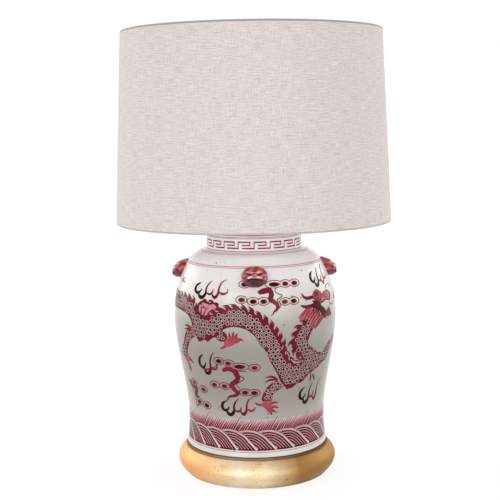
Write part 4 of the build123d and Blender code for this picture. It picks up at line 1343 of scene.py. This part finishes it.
def makeMask(node, turn):
    look = maskLook
    low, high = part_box(node)
    middle = (low.z + high.z) / 2 * 1000
    points, inks, faces = [], [], []
    rows, turns = look["rows"], look["turns"]
    farthest = max(math.hypot(v.co.x, v.co.y) for v in nodes[node].data.vertices) * 1000
    farthest -= look["clear"]

    def put(x, y, height, buried=False):
        z = middle + y * look["tall"]
        wall = float(np.interp(z, skinZ, skinR))
        reach = farthest - float(np.interp(middle, skinZ, skinR)) + look["bury"]
        r = wall - look["bury"] - 1.0 if buried else min(farthest, wall - look["bury"] + height * reach)
        a = x * look["wide"] / wall + turn
        points.append((r * math.sin(a) / 1000, -r * math.cos(a) / 1000, z / 1000))
        inks.append(maskInk(x, y))

    def spread(rho, angle):
        # the face is a rounded square
        corner = look["corner"]
        edge = (abs(math.cos(angle)) ** corner + abs(math.sin(angle)) ** corner) ** (-1 / corner)
        edge = min(1.0, edge * 0.98)
        return rho * edge * math.cos(angle), rho * edge * math.sin(angle)

    put(0, 0, maskHeight(0, 0))
    for row in range(1, rows + 1):
        rho = row / rows
        for step in range(turns):
            angle = 2 * math.pi * step / turns
            x, y = spread(rho, angle)
            put(x, y, maskHeight(rho * math.cos(angle), rho * math.sin(angle)))
    for step in range(turns):
        x, y = spread(0.97, 2 * math.pi * step / turns)
        put(x, y, 0, True)
    put(0, 0, 0, True)
    for step in range(turns):
        after = (step + 1) % turns
        faces.append((0, 1 + step, 1 + after))
        for row in range(rows):
            a = 1 + row * turns
            faces.append((a + step, a + turns + step, a + turns + after, a + after))
        back = 1 + rows * turns
        faces.append((len(points) - 1, back + after, back + step))
    thing = newThing(node.replace("lion_mask", "lionFace"), points, faces)
    pointValues(thing, "ink", inks)
    outwards(thing)
    paint(thing, maskGlaze)
    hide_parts(node)
    onLamp(thing)


makeMask("lion_mask_front", 0.0)
makeMask("lion_mask_right", math.pi / 2)
makeMask("lion_mask_back", math.pi)
makeMask("lion_mask_left", -math.pi / 2)
print("masks modelled")


# the shade's linen

linenLook = {
    "low": (200.586, 379.7), "high": (188.11, 653.7), "reach": 2.5, "thick": 0.8, "lap": 12.0, "lapRise": 0.35,
    "mapRadius": 197.0, "segments": 288, "crease": 60.0,
    # inner radius, outer radius and height where each hem ends inside, and the spacing of the threads
    "lowHem": (200.00, 200.82, 386.6), "highHem": (188.20, 189.00, 646.8), "thread": 0.95,
    "warp": tint(246, 237, 234), "weft": tint(225, 215, 212), "shadow": tint(186, 174, 171),
    # the darker tone put on the rolled edges as painted shade
    "rolledEdgeShade": tint(156, 150, 152),
    # how much the thick threads across, those going up and the loose fibres darken or lighten the cloth
    "uneven": (0.62, 0.34, 1.3), "hemShade": (0.85, 0.55), "weaveDepth": 0.0006,
}


def linenFinish():
    look = linenLook
    bench = Bench("linenWeave")
    place = bench.mapPlace()
    parts = bench.xyz(place)
    u, v = parts.output("X"), parts.output("Y")
    wobble = bench.noise(bench.stretched(place, (0.12, 0.12, 1)), 1.0, 2.0) - 0.5
    turns = 2 * math.pi / look["thread"]
    warpThread = bench.waves((u + wobble * 1.2) * turns)
    weftThread = bench.waves((v + wobble * 1.2) * turns)
    slubsAcross = bench.noise(bench.stretched(place, (0.055, 0.9, 1)), 1.0, 3.0)
    slubsUp = bench.noise(bench.stretched(place, (1.0, 0.06, 1)), 1.0, 3.0)
    fluff = bench.noise(place, 0.75, 4.0, 0.75)
    across, up, loose = look["uneven"]
    tone = (slubsAcross - 0.5) * across + (slubsUp - 0.5) * up + (fluff - 0.5) * loose + 0.5
    cloth = bench.ramp(tone, (0.25, look["shadow"]), (0.5, look["weft"]), (0.75, look["warp"]))
    cloth = bench.blend((warpThread + weftThread) * 0.06, cloth, look["weft"], "MULTIPLY")
    top, bottom = look["hemShade"]
    # painted shade: the rolled edges at top and bottom are darkened
    edgeShade = (v > look["high"][1] - 0.4) * top + (v < look["low"][1] + 0.2) * bottom
    cloth = bench.blend(edgeShade, cloth, look["rolledEdgeShade"])
    height = warpThread * 0.5 + weftThread * 0.5 + slubsAcross * 1.2 + slubsUp * 0.8
    normal = bench.bump(height, 0.35, look["weaveDepth"])
    return bench.done(
        Base_Color=cloth, Roughness=0.86 + fluff * 0.1, Normal=normal, Sheen_Weight=0.18, Sheen_Roughness=0.5
    )


def roundMap(thing, radius):
    # a flat map in millimetres: round the lamp, and up
    face = thing.data.uv_layers.new(name="flat")
    mesh = thing.data
    for polygon in mesh.polygons:
        centre = polygon.center
        home = math.atan2(centre.x, -centre.y)
        for loop in polygon.loop_indices:
            spot = mesh.vertices[mesh.loops[loop].vertex_index].co
            angle = math.atan2(spot.x, -spot.y)
            angle += 2 * math.pi * round((home - angle) / (2 * math.pi))
            face.data[loop].uv = (angle * radius, spot.z * 1000)


def makeLinen():
    look = linenLook
    low, high = np.array(look["low"]), np.array(look["high"])
    way = (high - low) / np.linalg.norm(high - low)
    out = np.array((way[1], -way[0]))
    reach, inner = look["reach"], look["reach"] - look["thick"]

    def curl(centre, radius, start, end):
        # start and end in degrees from outwards, towards the top
        spots = []
        steps = 8
        for step in range(steps + 1):
            a = math.radians(start + (end - start) * step / steps)
            spots.append(centre + radius * (math.cos(a) * out + math.sin(a) * way))
        return spots

    slant = np.linalg.norm(high - low)
    outer = [low + out * reach + way * (t * slant) for t in np.linspace(0, 1, 24)]
    innerLine = [low + out * inner + way * (t * slant) for t in np.linspace(1, 0, 12)]
    lowHemIn, lowHemOut = [np.array((r, look["lowHem"][2])) for r in look["lowHem"][:2]]
    highHemIn, highHemOut = [np.array((r, look["highHem"][2])) for r in look["highHem"][:2]]
    outline = [lowHemIn, low - out * reach + way * 2.0]
    outline += curl(low, reach, 180, 360)[:-1]
    outline += outer[:-1]
    outline += curl(high, reach, 0, 180)
    outline += [high - out * reach - way * 2.0, highHemIn, highHemOut, high - out * inner - way * 1.6]
    outline += curl(high, inner, 180, 0)
    outline += innerLine[1:-1]
    outline += curl(low, inner, 360, 180)
    outline += [low - out * inner + way * 1.6, lowHemOut, lowHemIn]
    cover = turned(
        "linenCover", [(r / 1000, z / 1000) for r, z in outline], linenFinish(), look["segments"], look["crease"]
    )
    for vertex in cover.data.vertices:
        # the lapped join at the back
        x, y, z = vertex.co
        off = abs(math.atan2(x, y)) * look["mapRadius"] - look["lap"] / 2
        flat = np.array((math.hypot(x, y) * 1000, z * 1000)) - low
        if off < 0 and float(flat @ out) > reach - 0.1:
            r = math.hypot(x, y)
            vertex.co.x += x / r * look["lapRise"] / 1000
            vertex.co.y += y / r * look["lapRise"] / 1000
    roundMap(cover, look["mapRadius"])
    return cover


linenCover = makeLinen()
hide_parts("shade_cover")
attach(linenCover, "shade")
print("linen fitted")


# the felt under the base

def feltFinish():
    bench = Bench("pressedFelt")
    place = bench.objectPlace()
    fibres = bench.noise(place, 900.0, 5.0, 0.7)
    clumps = bench.noise(place, 60.0, 3.0)
    colour = bench.ramp(fibres * 0.6 + clumps * 0.4, (0.3, tint(34, 30, 28)), (0.7, tint(62, 56, 52)))
    return bench.done(
        Base_Color=colour, Roughness=0.93 + fibres * 0.05, Normal=bench.bump(fibres, 0.5, 0.0006), Sheen_Weight=0.2
    )


feltSize = {"radius": 0.1019, "bottom": 0.00002, "top": 0.00148, "edge": 0.0004, "middle": 0.0000005}


def makeFelt():
    look = feltSize
    r, low, high, edge = look["radius"], look["bottom"], look["top"], look["edge"]
    outline = [(look["middle"], low)] + [(r * part / 8, low) for part in range(1, 8)]
    outline += [(r - edge, low), (r, low + edge), (r, high - edge), (r - edge, high)]
    outline += [(r * part / 8, high) for part in range(7, 0, -1)] + [(look["middle"], high)]
    return turned("feltPad", outline, feltFinish(), 128, 50.0)


felt = makeFelt()
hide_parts("felt_pad")
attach(felt, "lamp_body")
print("felt laid")


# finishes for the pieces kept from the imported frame

leafLook = {
    "leaf": tint(236, 211, 166), "pale": tint(247, 236, 214), "rich": tint(220, 176, 110),
    "orangeReflection": tint(240, 160, 92), "oliveShade": tint(150, 104, 34), "boleAndShade": tint(104, 54, 26),
    "paintedSheen": tint(246, 238, 222),
    "warmReflectionFrom": 0.035, "shadedSideFrom": 0.012, "seatFrom": 0.0405,
    # how far each tone covers the gold: painted warm reflection, painted sheen, painted olive shade, painted shade at
    # the seat; and how far the ground can show through, where worn or shaded
    "warmReflection": 0.75, "sheenShare": 0.55, "green": 0.92, "seatShadeAmount": 0.75, "mostWornAndShaded": 0.85,
}


def goldLeaf():
    look = leafLook
    bench = Bench("wornGoldLeaf")
    place = bench.objectPlace()
    parts = bench.xyz(place)
    side, height = parts.output("X"), parts.output("Z")
    clouds = bench.noise(place, 16.0, 5.0, 0.65)
    streaks = bench.noise(bench.stretched(place, (14.0, 14.0, 150.0)), 1.0, 4.0, 0.6)
    grain = bench.noise(place, 420.0, 3.0, 0.7)
    gold = bench.ramp(
        clouds * 0.4 + streaks * 0.25 + grain * 0.35, (0.38, look["rich"]), (0.50, look["leaf"]), (0.62, look["pale"])
    )
    # painted light on the leaf: a warm painted reflection towards the left side, and painted olive shade towards the
    # right side
    uneven = (clouds - 0.5) * 0.5
    warmReflection = bench.ramp((0.0 - side - look["warmReflectionFrom"]) / 0.06 + uneven, (0.0, black), (1.0, white))
    green = bench.ramp((side - look["shadedSideFrom"]) / 0.05 + uneven, (0.0, black), (1.0, white))
    gold = bench.blend(warmReflection * look["warmReflection"], gold, look["orangeReflection"])
    # painted highlight: a pale sheen in a band just left of the middle
    paintedSheen = bench.ramp(side * 12.0 + 1.0 + (clouds - 0.5) * 0.8, (0.25, black), (0.6, white), (0.95, black))
    gold = bench.blend(paintedSheen * look["sheenShare"], gold, look["paintedSheen"])
    gold = bench.blend(green * look["green"], gold, look["oliveShade"])
    lowEdge = bench.ramp((height - 0.0015) / 0.012, (0.0, white), (1.0, black))
    # painted shade: the top of the base, under the jar's foot, darkened as a band; besides it, wear spots, and the
    # gold darker and streaky towards the bottom edge
    seatShade = bench.ramp((height - look["seatFrom"]) / 0.0025, (0.0, black), (1.0, white))
    wornAndShaded = (bench.noise(place, 90.0, 4.0, 0.7) > 0.65) * 0.4 + (grain > 0.67) * 0.45
    wornAndShaded = wornAndShaded + lowEdge * (0.14 + (streaks - 0.4) * 1.3) + seatShade * look["seatShadeAmount"]
    factor = bench.node("ShaderNodeMath", {"operation": "MINIMUM", "use_clamp": True}, {0: wornAndShaded, 1: look["mostWornAndShaded"]})
    colour = bench.blend(factor, gold, look["boleAndShade"])
    rough = 0.36 + clouds * 0.14 + grain * 0.14 + factor * 0.2
    metal = 0.93 - factor * 0.35
    normal = bench.bump(clouds * 0.4 + grain * 0.6 + streaks * 0.5, 0.3, 0.0009)
    return bench.done(Base_Color=colour, Metallic=metal, Roughness=rough, Normal=normal)


def metal(name, bright, dull, rough):
    bench = Bench(name)
    place = bench.objectPlace()
    lines = bench.noise(bench.stretched(place, (30.0, 30.0, 900.0)), 1.0, 3.0)
    patches = bench.noise(place, 70.0, 4.0)
    colour = bench.ramp(patches * 0.6 + lines * 0.4, (0.36, dull), (0.64, bright))
    spots = (bench.noise(place, 800.0, 2.0) > 0.66) * 0.08
    return bench.done(
        Base_Color=colour, Metallic=1.0, Roughness=rough + patches * 0.14 + spots + (lines - 0.5) * 0.08,
        Normal=bench.bump(lines * 0.5 + patches * 0.3, 0.15, 0.0002),
    )


def moulded(name, colour, darker, rough, scale=160.0, coat=0.0):
    bench = Bench(name)
    place = bench.objectPlace()
    mottle = bench.noise(place, scale, 4.0)
    grain = bench.noise(place, scale * 9, 2.0)
    shade = bench.ramp(mottle, (0.35, darker), (0.65, colour))
    return bench.done(
        Base_Color=shade, Roughness=rough + (mottle - 0.5) * 0.12, Normal=bench.bump(grain, 0.2, 0.0002),
        Coat_Weight=coat,
    )


def frostedGlass():
    bench = Bench("frostedGlass")
    place = bench.objectPlace()
    frost = bench.noise(place, 1400.0, 3.0)
    drift = bench.noise(place, 30.0, 3.0)
    colour = bench.ramp(drift, (0.35, tint(232, 231, 226)), (0.65, tint(243, 242, 238)))
    return bench.done(
        Base_Color=colour, Roughness=0.34 + frost * 0.18, Normal=bench.bump(frost, 0.25, 0.0003), Coat_Weight=0.15
    )


brass = metal("lacqueredBrass", tint(214, 178, 108), tint(176, 134, 70), 0.20)
steel = metal("platedSteel", tint(196, 194, 188), tint(150, 148, 142), 0.30)
finishLook = [
    # finish, and the pieces that wear it
    (goldLeaf(), ["gilded_base"]),
    (moulded("blackPlastic", tint(38, 37, 37), tint(26, 25, 25), 0.42), ["cord_bushing", "switch_knob"]),
    (steel, [
        "base_washer", "base_locknut", "threaded_rod", "fitter_washer", "spider_arm_1", "spider_arm_2",
        "spider_arm_3", "shade_top_ring", "shade_bottom_ring", "terminal_screws",
    ]),
    (moulded("gasketRubber", tint(46, 44, 42), tint(32, 30, 29), 0.78), ["foot_gasket", "mouth_gasket"]),
    (brass, [
        "vase_cap", "check_ring", "neck_tube", "harp_saddle", "harp", "harp_ferrule_left", "harp_ferrule_right",
        "harp_stud", "finial_collar", "finial_ball", "holder_cap", "holder_shell", "centre_contact", "switch_shaft",
    ]),
    (moulded("whiteStyrene", tint(240, 237, 230), tint(229, 225, 217), 0.55, 40.0), ["shade_liner"]),
    (moulded("fibreCard", tint(104, 82, 62), tint(78, 60, 45), 0.85, 240.0), ["insulating_sleeve"]),
    (moulded("mouldedInsulator", tint(40, 32, 28), tint(27, 21, 19), 0.36), ["holder_insulator"]),
    (
        metal("rolledAluminium", tint(214, 214, 214), tint(178, 178, 178), 0.26),
        ["screw_shell", "bulb_tip", "bulb_cap"],
    ),
    (moulded("blackGlass", tint(30, 30, 34), tint(20, 20, 23), 0.10, 90.0, 0.5), ["bulb_collar"]),
    (frostedGlass(), ["bulb_glass"]),
]
for finish, names in finishLook:
    for name in names:
        paint(nodes[name], finish)
print("finishes on")


# floor, backdrop, light and camera

stageLook = {
    "tones": ((0.3, tint(242, 242, 242)), (0.7, tint(246, 246, 246))),
    "glow": 1.06, "catch": 0.82, "fadeFrom": 0.3, "fadeSlope": 1.4, "worldDim": 0.62, "floor": (-6, 6, -3, 9),
}


def seenDirectly(bench):
    # 1 for what the camera, gloss and glass see, 0 for what lights the lamp
    path = bench.node("ShaderNodeLightPath")
    seen = bench.larger(path.output("Is Camera Ray"), path.output("Is Glossy Ray"))
    return bench.larger(seen, path.output("Is Transmission Ray"))


def floorFinish():
    look = stageLook
    bench = Bench("paleFloor")
    place = bench.objectPlace()
    tone = bench.ramp(bench.noise(place, 3.0, 2.0), *look["tones"])
    matt = bench.node("ShaderNodeBsdfDiffuse", {}, {"Color": tone})
    glow = bench.node("ShaderNodeEmission", {}, {"Color": white, "Strength": look["glow"]})
    parts = bench.xyz(place)
    x, y = parts.output("X"), parts.output("Y")
    away = bench.node("ShaderNodeMath", {"operation": "SQRT"}, {0: x * x + y * y})
    fade = bench.fade(away - look["fadeFrom"], look["fadeSlope"])
    share = seenDirectly(bench) * (fade * (1 - look["catch"]) + look["catch"])
    bench.surface(bench.node("ShaderNodeMixShader", {}, {0: share, 1: matt, 2: glow}))
    return bench.material


def makeStage():
    look = stageLook
    left, right, near, far = look["floor"]
    floor = newThing("floor", [(left, near, 0), (right, near, 0), (right, far, 0), (left, far, 0)], [(0, 1, 2, 3)])
    paint(floor, floorFinish())
    world = bpy.data.worlds.new("studio")
    bpy.context.scene.world = world
    bench = Bench("studio", world)
    dim = bench.node("ShaderNodeBackground", {}, {"Color": white, "Strength": look["worldDim"]})
    bright = bench.node("ShaderNodeBackground", {}, {"Color": white, "Strength": 1.0})
    both = bench.node("ShaderNodeMixShader", {}, {0: seenDirectly(bench), 1: dim, 2: bright})
    bench.surface(both, "ShaderNodeOutputWorld")


makeStage()

lampLook = [
    # name, place in metres, watts, size in metres
    ("keyLight", (-1.15, -1.95, 0.52), 12.5, 1.2),
    ("fillLight", (1.25, -1.85, 0.50), 8.2, 1.2),
    ("topLight", (0.1, 0.4, 2.4), 7.5, 1.4),
    ("leftRim", (-1.4, 0.75, 0.7), 6.0, 1.0),
    ("rightRim", (1.4, 0.75, 0.7), 6.0, 1.0),
]


lampAim = Vector((0, 0, 0.33))


def addLight(name, place, watts, size):
    light = bpy.data.lights.new(name, "AREA")
    light.shape = "SQUARE"
    light.size = size
    light.energy = watts
    thing = bpy.data.objects.new(name, light)
    thing.location = place
    thing.rotation_euler = (lampAim - Vector(place)).to_track_quat("-Z", "Y").to_euler()
    bpy.context.scene.collection.objects.link(thing)


for given in lampLook:
    addLight(*given)

# place in metres, turns in radians, lens and sensor in mm
cameraLook = {
    "place": (0, -1.6, 0.529), "pitch": 0.1215, "yaw": 0.0039, "roll": 0.0148, "lens": 77.616, "sensor": 36.0
}


def makeCamera():
    look = cameraLook
    pitch, yaw, roll = look["pitch"], look["yaw"], look["roll"]
    ahead = Vector((-math.sin(yaw) * math.cos(pitch), math.cos(yaw) * math.cos(pitch), -math.sin(pitch)))
    level = Vector((math.cos(yaw), math.sin(yaw), 0))
    up = level.cross(ahead)
    right = level * math.cos(roll) - up * math.sin(roll)
    up = up * math.cos(roll) + level * math.sin(roll)
    data = bpy.data.cameras.new("photoCamera")
    data.sensor_fit = "HORIZONTAL"
    data.sensor_width = look["sensor"]
    data.lens = look["lens"]
    camera = bpy.data.objects.new("photoCamera", data)
    turn = Matrix((right, up, -ahead)).transposed().to_4x4()
    camera.matrix_world = Matrix.Translation(Vector(look["place"])) @ turn
    bpy.context.scene.collection.objects.link(camera)
    bpy.context.scene.camera = camera


makeCamera()
bpy.context.scene.view_settings.view_transform = "Standard"
